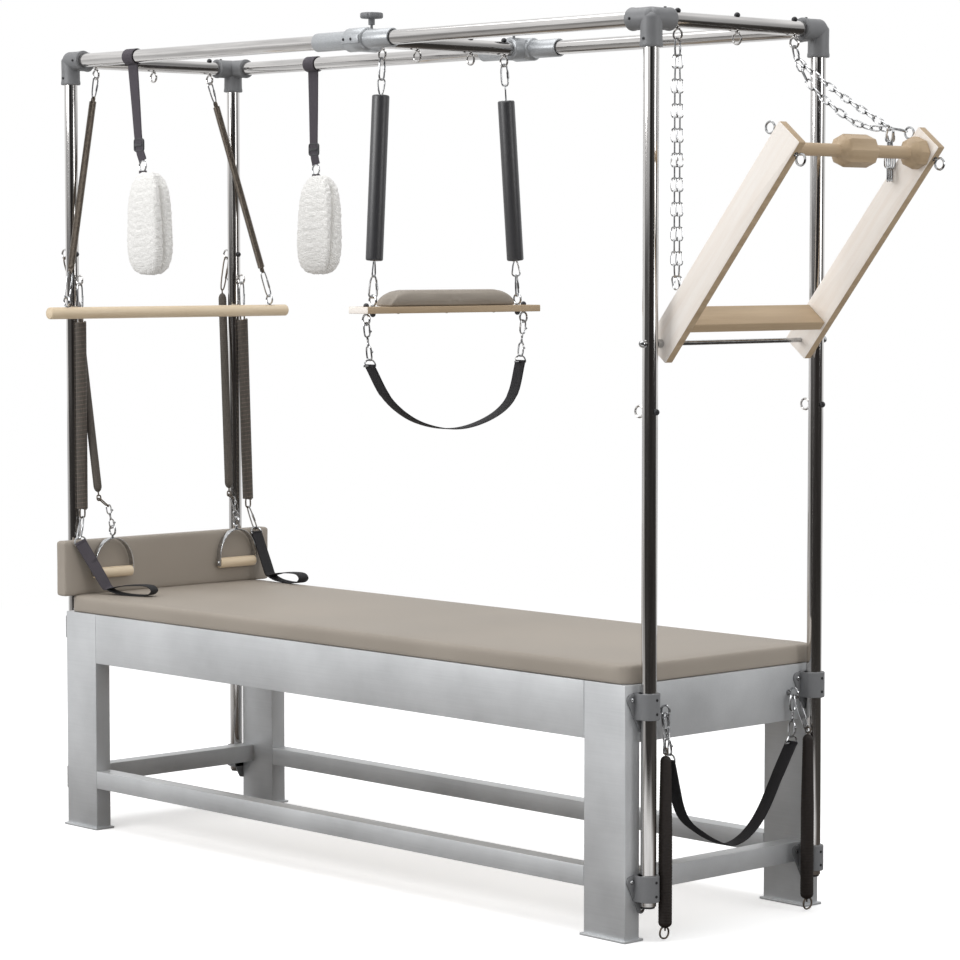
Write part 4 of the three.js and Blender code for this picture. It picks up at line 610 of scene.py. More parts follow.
def bracket(end, side, height):
    """A clamp for the upright: a three-eared flange on the end face, a block, a round strap and its bolts."""
    y, face, out = side * upright_y, end * end_x, X * end
    ears = ((-34, 16, 14), (34, 16, 14), (0, -54, 11))
    angle = np.linspace(0, 2 * np.pi, 24, endpoint=False)
    rounds = [np.stack([cy + r * np.cos(angle), cz + r * np.sin(angle)], 1) for cy, cz, r in ears]
    outline = hull(np.vstack(rounds))
    rows = [(0, 0.0), (4.6, 0.0), (5.6, 0.5), (6, 1.4)]
    middle = outline.mean(0)
    flange = np.array([[face + end * h, 0, 0]
                       + np.pad(outline + (middle - outline) * inset / 40, ((0, 0), (1, 0)))
                       + [0, y, height] for h, inset in rows])
    tube_x, strap_r, half = end * upright_x, 27, 32
    strap = turned(point(tube_x, y, height - half), Z,
                   [[0, 25.5], [1.5, strap_r], [62.5, strap_r], [64, 25.5]], 48)
    block = box_plate(*sorted((face, tube_x)), y - strap_r, y + strap_r, height - half, height + half, 2, 1.5)
    parts = [skin(flange), strap, block]
    for z in (height - 17, height + 17):
        parts.append(tinted(rod([tube_x + end * 24, y, z], [tube_x + end * 28.5, y, z], 3.5, 16), 2))
    for cy, cz, _ in ears:
        at = point(face + end * 6, y + cy, height + cz)
        parts.append(tinted(turned(at, out, [[0, 6.5], [1, 6.5], [1.2, 5.6], [3, 5.2], [4, 3.5], [4.2, 1]],
                                   20), 1))
    return [tinted(p, p["m"] + 1) for p in parts]


def hull(points):
    """The points of a cloud that a stretched band would touch, in order."""
    order = points[np.lexsort((points[:, 1], points[:, 0]))]

    def half(line):
        kept = []
        for p in line:
            while len(kept) > 1 and np.cross(kept[-1] - kept[-2], p - kept[-2]) <= 1e-6:
                kept.pop()
            kept.append(p)
        return kept[:-1]

    return np.array(half(order) + half(order[::-1]))


# %% End frames
slung_y, slung_z, slung_x = 233, 553, 1150


def end_frame(name, end):
    """Two legs, a cross apron and a cross rail, and at the foot end the eyes for its sling and springs."""
    parts = leg(end, -1) + leg(end, 1)
    x = sorted((end * (end_x - profile_thick), end * end_x))
    parts.append(box_plate(*x, -cross_half, cross_half, apron_top - profile_deep, apron_top, 1.5, edge_soft))
    parts.append(box_plate(*x, -cross_half, cross_half, rail_top - profile_thick, rail_top, 1.5, edge_soft))
    for _, side in sides:
        for height in bracket_heights:
            parts += bracket(end, side, height)
        if end > 0:
            at = point(end_x, side * slung_y, slung_z)
            shank = [[-2, 7.5], [2, 7.5], [2.4, shank_r], [slung_x - eye_r - end_x, shank_r]]
            parts.append(tinted(turned(at, X, shank, 20), 2))
            parts.append(tinted(eye_ring(point(slung_x, side * slung_y, slung_z), X, Z), 2))
    piece(name + "_frame_dressed", parts, [aluminium, casting, bright, dark_bolt], "frame",
          name + "_end_frame")


end_frame("head", -1)
end_frame("foot", 1)

# %% Side aprons, rails and the deck
for name, side in sides:
    y = sorted((side * (side_y - profile_thick), side * side_y))
    for which, low, high in (("apron", apron_top - profile_deep, apron_top),
                             ("rail", rail_top - profile_thick, rail_top)):
        piece(f"{which}_{name}_dressed", [box_plate(-apron_half, apron_half, *y, low, high, 2.5, edge_soft)],
              aluminium,
              "frame", f"side_{which}_{name}")
piece("deck_dressed", [box_plate(-1079.6, 1079.6, -300.6, 300.6, 604, apron_top, 2, edge_soft)], plywood,
      "frame", "bed_deck")
print("base dressed")

# %% [markdown]
# ## The tube frame
# Four uprights and four level tubes, all 38 mm across, meet in cast three-way corners. The tubes are
# polished, so what they show is mostly the room: a pale stripe and a dark stripe along their length.
# That comes from the mirror-like finish and the lighting, and needs a truly round, smooth surface.

# %% Uprights
outer_eye_z, inner_eye_z = 1652, 1577
for e_name, end in (("head", -1), ("foot", 1)):
    for name, side in sides:
        x, y = end * upright_x, side * upright_y
        foot_z, cap = 88, [[-6.5, 3], [-6, 3.2], [-5.2, 3.2], [-5, 15], [-4, 16], [3, 16]]
        parts = [pipe([x, y, foot_z], [x, y, 2184], tube_r, wall_inner),
                 tinted(turned(point(x, y, foot_z), Z, cap, 32), 1)]
        if end < 0:
            parts += eyebolt([x, y, outer_eye_z], X * end, Z, tube_r)
            parts += eyebolt([x, y, inner_eye_z], -X * end, Z, tube_r)
        else:
            parts += eyebolt([x, y, 1276], -X * end, Z, tube_r)
        piece(f"upright_{e_name}_{name}_dressed", parts, [steel, dark_bolt, bright], "frame",
              f"upright_{e_name}_{name}")

# %% Level tubes
for name, side in sides:
    y = side * upright_y
    piece(f"long_tube_{name}_dressed", [pipe([-1136, y, tube_z], [1136, y, tube_z], tube_r, wall_inner)],
          steel_level,
          "frame", f"long_tube_{name}")


def cross_tube(node, x, eyes, body):
    """A tube across the table with an eye bolt under it at each y of eyes."""
    parts = [pipe([x, -277, tube_z], [x, 277, tube_z], tube_r, wall_inner)]
    for y in eyes:
        parts += eyebolt([x, y, tube_z], -Z, X, tube_r)
    piece(node + "_dressed", parts, [steel_level, dark_bolt], body, node)


top_eye_y, slider_x, slider_eye_y = 209, 108, 219
cross_tube("cross_tube_head", -upright_x, (-top_eye_y, 0, top_eye_y), "frame")
cross_tube("cross_tube_foot", upright_x, (-top_eye_y, 0, top_eye_y), "frame")
cross_tube("slider_cross_tube", slider_x, (-slider_eye_y, -96, 96, slider_eye_y), "slider")


# %% Corner castings: three sockets that flare a little at the mouth, and a rounded back
def socket(centre, direction, long, r=28):
    """A socket is spun round its tube: the wall swells to a lip at the mouth."""
    profile = [[-r * 0.62, 3], [-r * 0.58, r * 0.45], [-r * 0.40, r * 0.75], [-r * 0.12, r * 0.93],
               [0, r - 1.2],
               [long * 0.5, r - 1.6], [long - 12, r - 1.2], [long - 8, r - 0.2], [long - 3, r],
               [long - 0.8, r - 0.6], [long, r - 2.4], [long, tube_r + 0.4], [long - 6, tube_r + 0.4]]
    return turned(centre, direction, profile, 48)


def corner(node, end, side):
    """Three sockets that meet, each with the head of a set screw."""
    c = point(end * upright_x, side * upright_y, tube_z)
    arms = ((-X * end, 65, Y * side), (-Y * side, 65, Z), (-Z, 68, Y * side))
    parts = []
    for direction, long, outward_dir in arms:
        parts.append(socket(c, direction, long))
        foot = c + direction * long * 0.72
        parts.append(tinted(rod(foot + outward_dir * 26, foot + outward_dir * 29.4, 3.5, 16), 1))
    piece(node + "_dressed", parts, [casting, dark_bolt], "frame", node, crease=50)


for e_name, end in (("head", -1), ("foot", 1)):
    for name, side in sides:
        corner(f"corner_fitting_{e_name}_{name}", end, side)

# %% [markdown]
# ## The slider
# The trapeze hangs from a cross tube that slides along the two long tubes on cast collars. Each collar
# is a long thin sleeve with a thick tee in its middle, and a lobed knob on top clamps it.

# %% Collars and knobs
for name, side in sides:
    y = side * upright_y
    c = point(slider_x, y, tube_z)
    sleeve_profile = [[-165, 20.2], [-165, 23.6], [-163.5, 24.5], [-38, 24.5], [-36, 29], [-33, 31], [33, 31],
                      [36, 29], [38, 24.5], [132.5, 24.5], [134, 23.6], [134, 20.2]]
    tee_profile = [[0, 31], [58, 31], [61, 29.6], [62, 28], [62, 19.4], [20, 19.4]]
    parts = [turned(c, X, sleeve_profile, 48, loop=True), turned(c, -Y * side, tee_profile, 48)]
    flat_y = sorted((y + side * 24, y + side * 34))
    parts.append(box_plate(slider_x - 34, slider_x + 34, *flat_y, tube_z - 11, tube_z + 11, 4, 1.2))
    for k in (-0.7, 0.14):
        at = point(slider_x + k * 34, y + side * 34, tube_z)
        parts.append(tinted(turned(at, Y * side, [[-1, 4], [0.8, 4], [1.5, 3.2], [1.5, 1.6], [0.2, 1.4]],
                                   16), 1))
    piece(f"slider_collar_{name}_dressed", parts, [sleeve_metal, dark_bolt], "slider",
          f"slider_collar_{name}", crease=50)
    at = point(slider_x, side * 256, 2263)
    rows = [(0, 0.90), (1.5, 0.97), (4, 1.0), (11, 1.0), (13.6, 0.97), (15, 0.88)]
    steps, lobes = 96, 16
    a = np.linspace(0, 2 * np.pi, steps, endpoint=False)
    lobe = 29.2 + 0.8 * np.tanh(2.2 * np.cos(lobes * a))
    head = np.array([at + np.stack([lobe * k * np.cos(a), lobe * k * np.sin(a), np.full(steps, h)], 1)
                     for h, k in rows])
    stem = turned(at, Z,
                  [[-35, 2.9], [-34.4, 3.5], [-17, 3.5], [-17, 7.6], [-16.2, 8.5], [-1, 8.5], [1, 9.5]], 32)
    badge = turned(at, Z, [[15, 8], [15.6, 7.6], [15.9, 5], [15.6, 2]], 24)
    piece(f"slider_knob_{name}_dressed", [skin(head), stem, tinted(badge, 1)], [casting, bright],
          f"knob_{name}", f"slider_knob_{name}")
print("tube frame and slider dressed")

# %% [markdown]
# ## The push bar
# Two beech arms swing on a rod through the foot uprights. A shelf ties them near the pivot and a round
# grip ties them at the top, with two octagonal blocks turned down at their shoulders. It leans outward,
# so its parts are made in its own two directions, up the arm and out from it. The grain follows each
# board: along the lean for the arms and across the bed for the shelf and the grip.

# %% Push bar directions
tilt, pivot_z, arm_long, arm_low = math.radians(39.2), 1438, 634, 28
arm_y, eye_along, eye_out, block_r, bar_r, rail_end = 250, 600, 60, 39, 15.2, 237.7
push_up = point(math.sin(tilt), 0, math.cos(tilt))
push_out = point(math.cos(tilt), 0, -math.sin(tilt))


def push_at(along, out, y):
    """pivot + along * up + out * outward."""
    return point(upright_x, y, pivot_z) + push_up * along + push_out * out


def tilted(material, angle):
    """A copy of a finish whose pattern is turned about Y, so that its grain runs up a leaning board."""
    made = material.copy()
    tree = made.node_tree
    place = next(n for n in tree.nodes if n.type == "TEX_COORD")
    turn = add(tree, "ShaderNodeMapping", {"Rotation": (0, angle, 0)})
    takers = [link.to_socket for link in place.outputs["Object"].links]
    wire_up(tree, (place.outputs["Object"], turn.inputs["Vector"]),
            *[(turn.outputs["Vector"], t) for t in takers])
    return made


# The arms' copy keeps the painted light of the palest beech.
beech_lean = tilted(beech, math.pi / 2 - tilt)
beech_lean.name = "beech_up_the_arm_painted_lit"

# %% Arms
for name, side in sides:
    middle = side * arm_y
    centre = push_at((arm_long - arm_low) / 2, 0, middle)
    parts = [plate(centre, push_up, push_out, (arm_long + arm_low) / 2, 40, 12, 3, 1.6)]
    shank = [[0, 6], [2, 6], [2.3, shank_r], [eye_out - 39 - eye_r, shank_r]]
    for k in (-1, 1):
        parts.append(tinted(turned(push_at(eye_along, k * 39, middle), push_out * k, shank, 20), 1))
        parts.append(tinted(eye_ring(push_at(eye_along, k * eye_out, middle), push_out, push_up), 1))
    # The arm's faces out of the light take the tan beech, painted shade.
    edged(piece(f"push_arm_{name}_dressed", parts, [beech_lean, bright, beech_painted_shade], "push_bar",
                f"push_bar_arm_{name}"), 2)

# %% Shelf, grip and pivot rod
# The shelf is tan beech all over, painted shade.
piece("push_shelf_dressed", [plate(push_at(73.5, -0.5, 0), push_up, push_out, 12.5, 34.5, rail_end, 2.5, 1)],
      beech_painted_shade,
      "push_bar", "push_bar_shelf")
grip_at = push_at(585.7, 0, 0)
round_bar = turned(grip_at, Y, [[-rail_end, 14.6], [-236.5, 15.4], [236.5, 15.4], [rail_end, 14.6]], 40)


def knuckle(low, high, taper_low, taper_high):
    """A block with eight flats that is turned down at its shoulders: r grows along a quarter sine. Where
    there is no shoulder the block ends flat with a small bevel."""
    q = np.linspace(0, np.pi / 2, 6)
    grow = block_r - bar_r
    up = [[low - taper_low * (1 - t / (np.pi / 2)), bar_r + grow * math.sin(t) ** 1.3] for t in q]
    down = [[high + taper_high * (t / (np.pi / 2)), block_r - grow * (1 - math.cos(t)) ** 1.1] for t in q]
    if not taper_high:
        down = [[high - 1.5, block_r], [high, 36.5]]
    return turned(grip_at, Y, up + down, 8)


# The grip is tan beech all over, painted shade.
piece("push_grip_dressed", [round_bar, knuckle(-36, 46, 26, 16), knuckle(216, rail_end, 24, 0)], beech_painted_shade,
      "push_bar", "push_bar_grip", crease=30)
half = [[262.3, 6], [262.3, 10.5], [279.7, 10.5], [279.7, 6], [318.3, 6], [318.3, 9], [326.3, 9], [330, 8],
        [334.3, 4]]
piece("pivot_rod_dressed",
      [turned(point(upright_x, 0, pivot_z), Y, [[-y, r] for y, r in half[::-1]] + half, 32)], bright,
      "frame", "push_bar_pivot_rod")

# %% [markdown]
# ## The trapeze
# A beech board hangs from the slider on two strands. Each strand is a quick link, a steel loop, a
# core that a foam grip covers, and a snap hook in the board's eye. The foam is a thick soft tube with
# rounded rims, so its ends are drawn in as a quarter circle.

# %% Strands and foams
board_top, board_low, sway = 1514, 1496, 8
hang_y, sling_y = 262, 285
tube_eye_z = tube_z - tube_r - eye_reach - eye_r


def strand(side, z):
    """The point of the strand at height z, on the line from the slider's eye to the board's eye."""
    top = point(slider_x, side * slider_eye_y, tube_eye_z + bearing + 2.6)
    low = point(slider_x, sway + side * hang_y, board_top + eye_reach + eye_r - bearing - 2.6)
    return top + (low - top) * (top[2] - z) / (top[2] - low[2])


def carabiner(start, end, across, half_wide, thick=2.3, taper=0.5):
    """A pear-shaped snap link: wide where its gate closes, narrow at its other end, with a small sleeve
    and pin on the gate's side."""
    start, end, across = np.asarray(start, float), np.asarray(end, float), unit(across)
    along = unit(end - start)
    long = np.linalg.norm(end - start)
    at = (start + end) / 2 + across * half_wide * (taper + (1 - taper) * 0.5)
    lean = unit(along + across * (1 - taper) * half_wide / long)
    small, large = thick * 0.9, thick * 1.45
    gate = turned(at - lean * long * 0.16, lean,
                  [[0, small], [0.8, large], [long * 0.3, large], [long * 0.32, small]], 12)
    return [oval(start, end, across, half_wide, thick, taper, 0.62, 32), gate]


# A link whose width lies along open_view is seen wide open in the photograph, along edge_view it is seen
# on its edge, and along part_view a little open.
open_view = point(math.cos(heading), math.sin(heading), 0)
edge_view = point(-math.sin(heading), math.cos(heading), 0)
part_view = edge_view * 0.94 + open_view * 0.34
for name, side in sides:
    top = strand(side, tube_eye_z + bearing + 2.6)
    low = strand(side, board_top + eye_reach + eye_r - bearing - 2.6)
    across, other = (Y, open_view) if side < 0 else (open_view, edge_view)
    parts = carabiner(top, strand(side, 2066 + 42 - 2.6), across, 9.5, 2.6, 0.85)
    parts.append(oval(strand(side, 2060), strand(side, 2108), other, 13, 2.2, 0.1, 0.75))
    parts.append(rod(strand(side, 2067), strand(side, 1633), 12, 24))
    across, other = (open_view, part_view) if side < 0 else (part_view, open_view)
    parts.append(oval(strand(side, 1640), strand(side, 1592), other, 15, 2.3, 0.1, 0.75))
    parts += carabiner(strand(side, 1594.6), low, across, 13, 2.6, 0.45)
    piece(f"trapeze_hanger_{name}_dressed", parts, bright, "trapeze", f"trapeze_hanger_{name}")
    start, end = strand(side, 1634), strand(side, 2066)
    long = np.linalg.norm(end - start)
    q = np.linspace(0, np.pi / 2, 5)
    rim = [[5 * (1 - math.sin(t)), 18 + 5 * math.cos(t)] for t in q[::-1]]
    profile = rim + [[long - h, r] for h, r in rim[::-1]] + [[long, 12.6], [0, 12.6]]
    grip = piece(f"trapeze_foam_{name}_dressed", [turned(start, end - start, profile, 48, loop=True)], foam,
                 "trapeze", f"trapeze_foam_{name}", crease=50)

# %% Board with its eyes, screws and bar
board = [box_plate(slider_x - 38, slider_x + 38, sway - 314, sway + 314, board_low, board_top, 3, 2)]
for _, side in sides:
    for y, d in ((sway + side * hang_y, 1), (sway + side * sling_y, -1)):
        *eye, nut = eyebolt([slider_x, y, (board_low + board_top) / 2], Z * d, X, (board_top - board_low) / 2)
        board += all_tinted(eye, 1) + [tinted(nut, 2)]
for y in (sway - 173, sway, sway + 173):
    board.append(tinted(turned(point(slider_x, y, board_low), -Z, [[-1, 4], [0.8, 4], [2, 2.5], [2, 0.5]],
                               20), 1))
# The board's faces out of the light take the tan beech, painted shade.
edged(piece("trapeze_board_dressed", board, [beech, bright, plastic, beech_painted_shade], "trapeze", "trapeze_board"), 3)
print("push bar and trapeze dressed")

# %% [markdown]
# ## Roll-down bar and springs
# A beech dowel hangs from two close-wound springs. Where turns touch, a spring is a bar with a fine
# thread, so the wire is modelled as it is: a helix whose pitch is the wire's own thickness. The heavy
# arm springs show about forty open ribs, and the pale sleeves on the others hide the wire altogether.

# %% Coil: centre + r (cos a u + sin a w) + a climb of one pitch a turn
def coil(start, end, outer, wire_r, turns, steps=12, round_sides=6):
    start, end = np.asarray(start, float), np.asarray(end, float)
    along = end - start
    u = unit(Y - unit(along) * (Y @ unit(along)))
    w = np.cross(unit(along), u)
    s = np.linspace(0, 1, int(turns * steps) + 1)[:, None]
    a = 2 * np.pi * turns * s
    r = outer - wire_r
    path = start + along * s + r * (np.cos(a) * u + np.sin(a) * w)
    return wire(path, wire_r, unit(along), sides=round_sides)


roll_x, roll_z = -1082, 1484
roll_eyes = (-374, 374)
dowel_r, dowel_long = 17, 874
dowel = turned(point(roll_x, -dowel_long / 2, roll_z), Y,
               [[0, 14.5], [0.8, 15.8], [2.5, 16.8], [4, dowel_r], [870, dowel_r], [871.5, 16.8],
                [873.2, 15.8], [dowel_long, 14.5]], 48)
parts = [dowel]
shank = [[0, 6], [1.8, 6], [2, shank_r], [dowel_r - eye_r, shank_r]]
for y in roll_eyes:
    parts.append(tinted(turned(point(roll_x, y, roll_z + 16), Z, shank, 20), 1))
    parts.append(tinted(eye_ring(point(roll_x, y, roll_z + dowel_r + eye_reach), X, Z), 1))
# The roll-down bar is the middle tan beech, painted shade.
piece("roll_down_bar_dressed", parts, [beech_y_painted_shade, bright], "roll_down", "roll_down_bar")

# %% Roll-down springs
for which, (name, side) in enumerate(sides):
    top = point(-upright_x, side * top_eye_y, tube_eye_z + bearing + 2.2)
    low = point(roll_x, roll_eyes[which], roll_z + dowel_r + eye_reach + eye_r - bearing - 2.2)
    at = lambda z: top + (low - top) * (top[2] - z) / (top[2] - low[2])
    parts = [coil(at(2092), at(1612), 10.6, 1.35, 170, 10, 5), rod(at(2092), at(1612), 8.4, 16),
             rod(at(2105), at(2090), 2.3, 12), rod(at(1614), at(1599), 2.3, 12),
             oval(at(2090), at(2106), X, 7, 2.1), oval(at(1614), at(1598), X, 7, 2.1)]
    parts += all_tinted(carabiner(at(2102), top, Y, 10, 2.2, 0.5)
                        + carabiner(at(1602), low, Y, 10, 2.2, 0.9), 1)
    piece(f"roll_spring_{name}_dressed", parts, [spring_steel, bright], "roll_down",
          f"roll_down_spring_{name}")

# %% Heavy arm springs
strap_dees = np.array([[-1091, -336, 838], [-1099, 328, 829]], float)
strap_bends = np.array([[-1042, -270, 673.4], [-1030, 328, 673.4]], float)
strap_ends = np.array([[-888, -216, 673.4], [-870, 326, 673.4]], float)
for which, (name, side) in enumerate(sides):
    y = side * upright_y
    hook = point(-upright_x + tube_r + eye_reach, y, inner_eye_z - eye_r + bearing + 2.2)
    top, low = point(-1119, y, 1458), point(-1119 + which * 22, y, 915)
    along = unit(low - top)
    down = unit(strap_bends[which] - strap_dees[which])
    dee = strap_dees[which] + down * 5
    # The dark rod inside the coil, in the sleeve's colour, fills the gaps between the open turns: painted shade
    # inside the spring.
    parts = [coil(top, low, 16.5, 2.6, 44, 14, 7), tinted(rod(top + along * 2, low - along * 2, 15.9, 24), 2),
             oval(top - along * 14, top + along * 4, X, 9, 2.4),
             oval(low - along * 4, low + along * 24, Y, 9, 2.4)]
    parts += all_tinted(carabiner(top - along * 9.5, hook, Y, 10, 2.3, 0.6)
                        + carabiner(low + along * 21.8, dee, X, 11, 2.3, 0.6), 1)
    piece(f"arm_coil_{name}_dressed", parts, [spring_steel, bright, sleeve], f"arm_coil_{name}",
          f"arm_coil_spring_{name}")

# %% [markdown]
# The springs that carry the D handles, and the leg springs, wear a knitted sleeve. It is a tight tube
# over the coils, rounded where it is drawn in round the wire, with the coils' soft ripple still showing,
# so its radius rises and falls a little with every turn beneath.

# %% Sleeved springs
def sleeve_tube(top, low, radius, ripples, ripple, ends=1.6, neck=0.0):
    """r = R (1 - (1 - t/e)^2)^(1/2) at each end, plus a small cosine of the coils beneath, and narrower by
    neck at the top. A wire leaves each end."""
    top, low = np.asarray(top, float), np.asarray(low, float)
    along = unit(low - top)
    long = np.linalg.norm(low - top)
    s = np.linspace(0, 1, ripples * 6 + 1)
    h = -radius + (long + 2 * radius) * s
    to_end = np.clip(np.minimum(h + radius, long + radius - h) / (ends * radius), 0, 1)
    drawn_in = np.sqrt(np.clip(1 - (1 - to_end) ** 2, 0.03, 1))
    r = radius * drawn_in + ripple * np.cos(2 * np.pi * ripples * s) * to_end
    r = r * (1 - neck * np.clip(1 - s / 0.45, 0, 1))
    return [turned(top, along, np.stack([h, r], 1), 28),
            tinted(rod(top - along * 24, top - along * (radius - 2), 2.2, 12), 1),
            tinted(rod(low + along * (radius - 2), low + along * 24, 2.2, 12), 1)]


def double_snap(start, end, across, other, half_wide=8, thick=2.1):
    """Two snap hooks back to back on a swivel barrel: at each end an oval eye whose one side is a gate
    with a thumb knob on it."""
    start, end = np.asarray(start, float), np.asarray(end, float)
    along = unit(end - start)
    long = np.linalg.norm(end - start)
    e = long * 0.37  # an eye's length
    parts = [oval(start, start + along * e, across, half_wide, thick, 1, 0.62, 24),
             oval(end - along * e, end, other, half_wide, thick, 1, 0.62, 24)]
    barrel = [[-5, 2], [-4.5, 3.8], [-2.4, 4.2], [-2, 3.2], [2, 3.2], [2.4, 4.2], [4.5, 3.8], [5, 2]]
    half = max(long * 0.13, 3)
    parts.append(turned((start + end) / 2, along, [[h * half / 4.6, r * 0.9] for h, r in barrel], 20))
    for at, way, out in ((start + along * e * 0.62, 1, unit(across)),
                         (end - along * e * 0.62, -1, unit(other))):
        pin = at + out * half_wide
        parts.append(turned(pin - along * way * 5, along * way, [[0, 2.2], [0.6, 2.9], [9, 2.9], [9.6, 2.2]],
                            12))
        parts.append(turned(pin, out, [[1, 1.6], [3.4, 1.6], [3.6, 2.6], [5.2, 2.6], [5.8, 1.8]], 12))
    return parts


sleeve_ends = np.array([[[-1185, -265, 1508], [-1084, -269, 977]], [[-1185, 275, 1524], [-1084, 215, 965]]],
                       float)
snap_mids = np.array([[-1082, -234, 918], [-1082, 227, 918]], float)
handle_tops = np.array([[-1082, -219, 829], [-1082, 242, 829]], float)
handle_shank = 9
for which, (name, side) in enumerate(sides):
    top, low = sleeve_ends[which]
    along = unit(low - top)
    hook = point(-upright_x - tube_r - eye_reach, side * upright_y, outer_eye_z - eye_r + bearing + 2.2)
    eye = handle_tops[which] + Z * (handle_shank + eye_r)
    catch = eye + Z * (eye_r - bearing - 3.3)
    parts = sleeve_tube(top, low, 11.9, 90, 0.2)
    parts.append(tinted(oval(low + along * 21, low + along * 36, Y, 6.5, 2.1), 1))
    parts += all_tinted(carabiner(top - along * 21.8, hook, Y, 10, 2.2, 0.7), 1)
    parts += all_tinted(double_snap(snap_mids[which] + Z * 8, catch, Y, Y), 2)
    parts.append(tinted(oval(low + along * 30, snap_mids[which] + Z * 4, X, 6, 2.0), 1))
    piece(f"arm_sleeve_{name}_dressed", parts, [sleeve, spring_steel, bright], f"arm_sleeved_{name}",
          f"arm_sleeved_spring_{name}")

# %% D handles: a flat strip bent to an arch, bolted through a beech grip
for which, (name, side) in enumerate(sides):
    x, y, z = handle_tops[which]
    steps, half, high, grip_z = 41, 68, 81.6, z - 98
    a = np.linspace(0, np.pi, steps)
    arch = np.stack([np.full(steps, x), y - half * np.cos(a), z - high * (1 - np.sin(a))], 1)
    foot = Z * (high - 108)
    arch = np.vstack([arch[0] + foot, arch[0] + foot * 0.5, arch, arch[-1] + foot * 0.5, arch[-1] + foot])
    eye = handle_tops[which] + Z * (handle_shank + eye_r)
    shank = [[1.4, 5.5], [3.4, 5.5], [3.8, shank_r], [handle_shank, shank_r]]
    nut = [[0, 7.5], [1, 7.5], [1.3, 6.4], [4, 6.2], [5.2, 4.6], [5.2, 1]]
    parts = [band(arch, X, 20, 3), turned(handle_tops[which], Z, [[-3, 5.5], [-1.6, 5.5], [-1.4, 4]], 20),
             turned(handle_tops[which], Z, shank, 20), eye_ring(eye, X, Z),
             rod([x, y - 74, grip_z], [x, y + 74, grip_z], 3.8, 16)]
    parts += [turned(point(x, y + k * 69.4, grip_z), Y * k, nut, 24) for k in (-1, 1)]
    piece(f"handle_arch_{name}_dressed", parts, bright, f"handle_{name}", f"handle_arch_{name}")
    profile = [[-66, 4.3], [-66, 14], [-65, 15.2], [-63.4, 15.5], [63.4, 15.5], [65, 15.2], [66, 14],
               [66, 4.3]]
    # The grip is the middle tan beech, painted shade.
    piece(f"handle_grip_{name}_dressed", [turned(point(x, y, grip_z), Y, profile, 40, loop=True)], beech_y_painted_shade,
          f"grip_{name}", f"handle_grip_{name}")
print("springs and handles dressed")

# %% [markdown]
# ## Chains
# A chain is one link many times over. Each link is an oval in a plane that turns a quarter from its
# neighbour's, so all the links of a run are worked out at once: one oval, carried into every place by
# three directions. The near chain hangs doubled. The far one holds the push bar: it runs taut to the
# bar's eye, its spare length sags beside it, and three short tails hang from the gathering hook.

# %% A run of links
def length(path):
    """The sum of |p_k+1 - p_k|."""
    return float(np.linalg.norm(np.diff(np.asarray(path, float), axis=0), axis=1).sum())


link_pitch = 29


def run_of_links(path, half_wide=7.6, thick=2.0, steps=16, round_sides=6):
    """points = middle + along * L + across * W, for every link; links lie about a pitch apart on the path."""
    path = np.asarray(path, float)
    gaps = np.linalg.norm(np.diff(path, axis=0), axis=1)
    reach = np.concatenate([[0], np.cumsum(gaps)])
    count = max(1, round(reach[-1] / link_pitch))
    at = np.linspace(0, reach[-1], count + 1)
    knots = np.stack([np.interp(at, reach, path[:, k]) for k in range(3)], 1)
    along = unit(np.diff(knots, axis=0))
    base = unit(Y - along * along[:, 1:2])
    other = np.cross(along, base)
    odd = np.where(np.arange(count) % 2 == 0, 1, -1)[:, None]
    across = unit(base + odd * other)
    normal = np.cross(along, across)
    half = np.linalg.norm(np.diff(knots, axis=0), axis=1) / 2 + thick * 0.9
    a = (np.arange(steps) + 0.5) / steps * 2 * np.pi
    c = np.sign(np.cos(a)) * abs(np.cos(a)) ** 0.6
    s = np.sign(np.sin(a)) * abs(np.sin(a)) ** 0.6
    middle = (knots[:-1] + knots[1:]) / 2
    parts = []
    for k in range(count):
        loop = middle[k] + np.outer(half[k] * c, along[k]) + np.outer(half_wide * s, across[k])
        parts.append(wire(loop, thick, normal[k], closed=True, sides=round_sides))
    return parts


# %% The near chain
hook = point(upright_x, -top_eye_y, tube_eye_z + bearing + 2.2)
foot = point(upright_x, -top_eye_y, 2120)
parts = carabiner(hook, foot, Y, 9.5, 2.3, 0.85)
for k in (-1, 1):
    strand_y = k * 9 - top_eye_y
    path = [foot + point(0, k * 4.75, 2.2), point(upright_x, strand_y, 2084),
            point(upright_x, strand_y, 1604),
            point(upright_x, -top_eye_y, 1568)]
    parts += run_of_links(path)
print("near chain,", 2 * round(length(path)), "mm of links in two strands")
piece("chain_near_dressed", parts, bright, "push_chain_near", "push_bar_chain_near")

# %% The far chain, its spare length and its tails
hook = point(upright_x, top_eye_y, tube_eye_z + bearing + 2.2)
foot = point(upright_x + 9.5, top_eye_y, tube_eye_z - 30)
eye = push_at(eye_along, -eye_out, arm_y)
pull = foot - eye
catch = eye + unit(pull * point(1, 0, 1)) * (eye_r - bearing - 2.2)
gather = point(1452, 224, 1953)
taut = smooth_path([foot, (foot + gather) / 2 - Z * 7, gather], 30)
slack = smooth_path([foot, [1212, 214, 2060], [1330, 224, 1975], [1412, 224, 1953], gather], 60)
parts = carabiner(hook, foot, Y, 9.5, 2.3, 0.85) + carabiner(gather, catch, Y, 9.5, 2.3, 0.85)
parts += run_of_links(taut) + run_of_links(slack)
total = length(taut) + length(slack)
for out in (-8, 0, 8):
    tail = [gather, gather + point(0, out, -36), gather + point(0, out, -126)]
    parts += run_of_links(tail)
    total += length(tail)
print("far chain,", round(total), "mm of links")
far_chain = piece("chain_far_dressed", parts, bright, None, "push_bar_chain_far")
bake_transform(far_chain)
print("chains dressed")

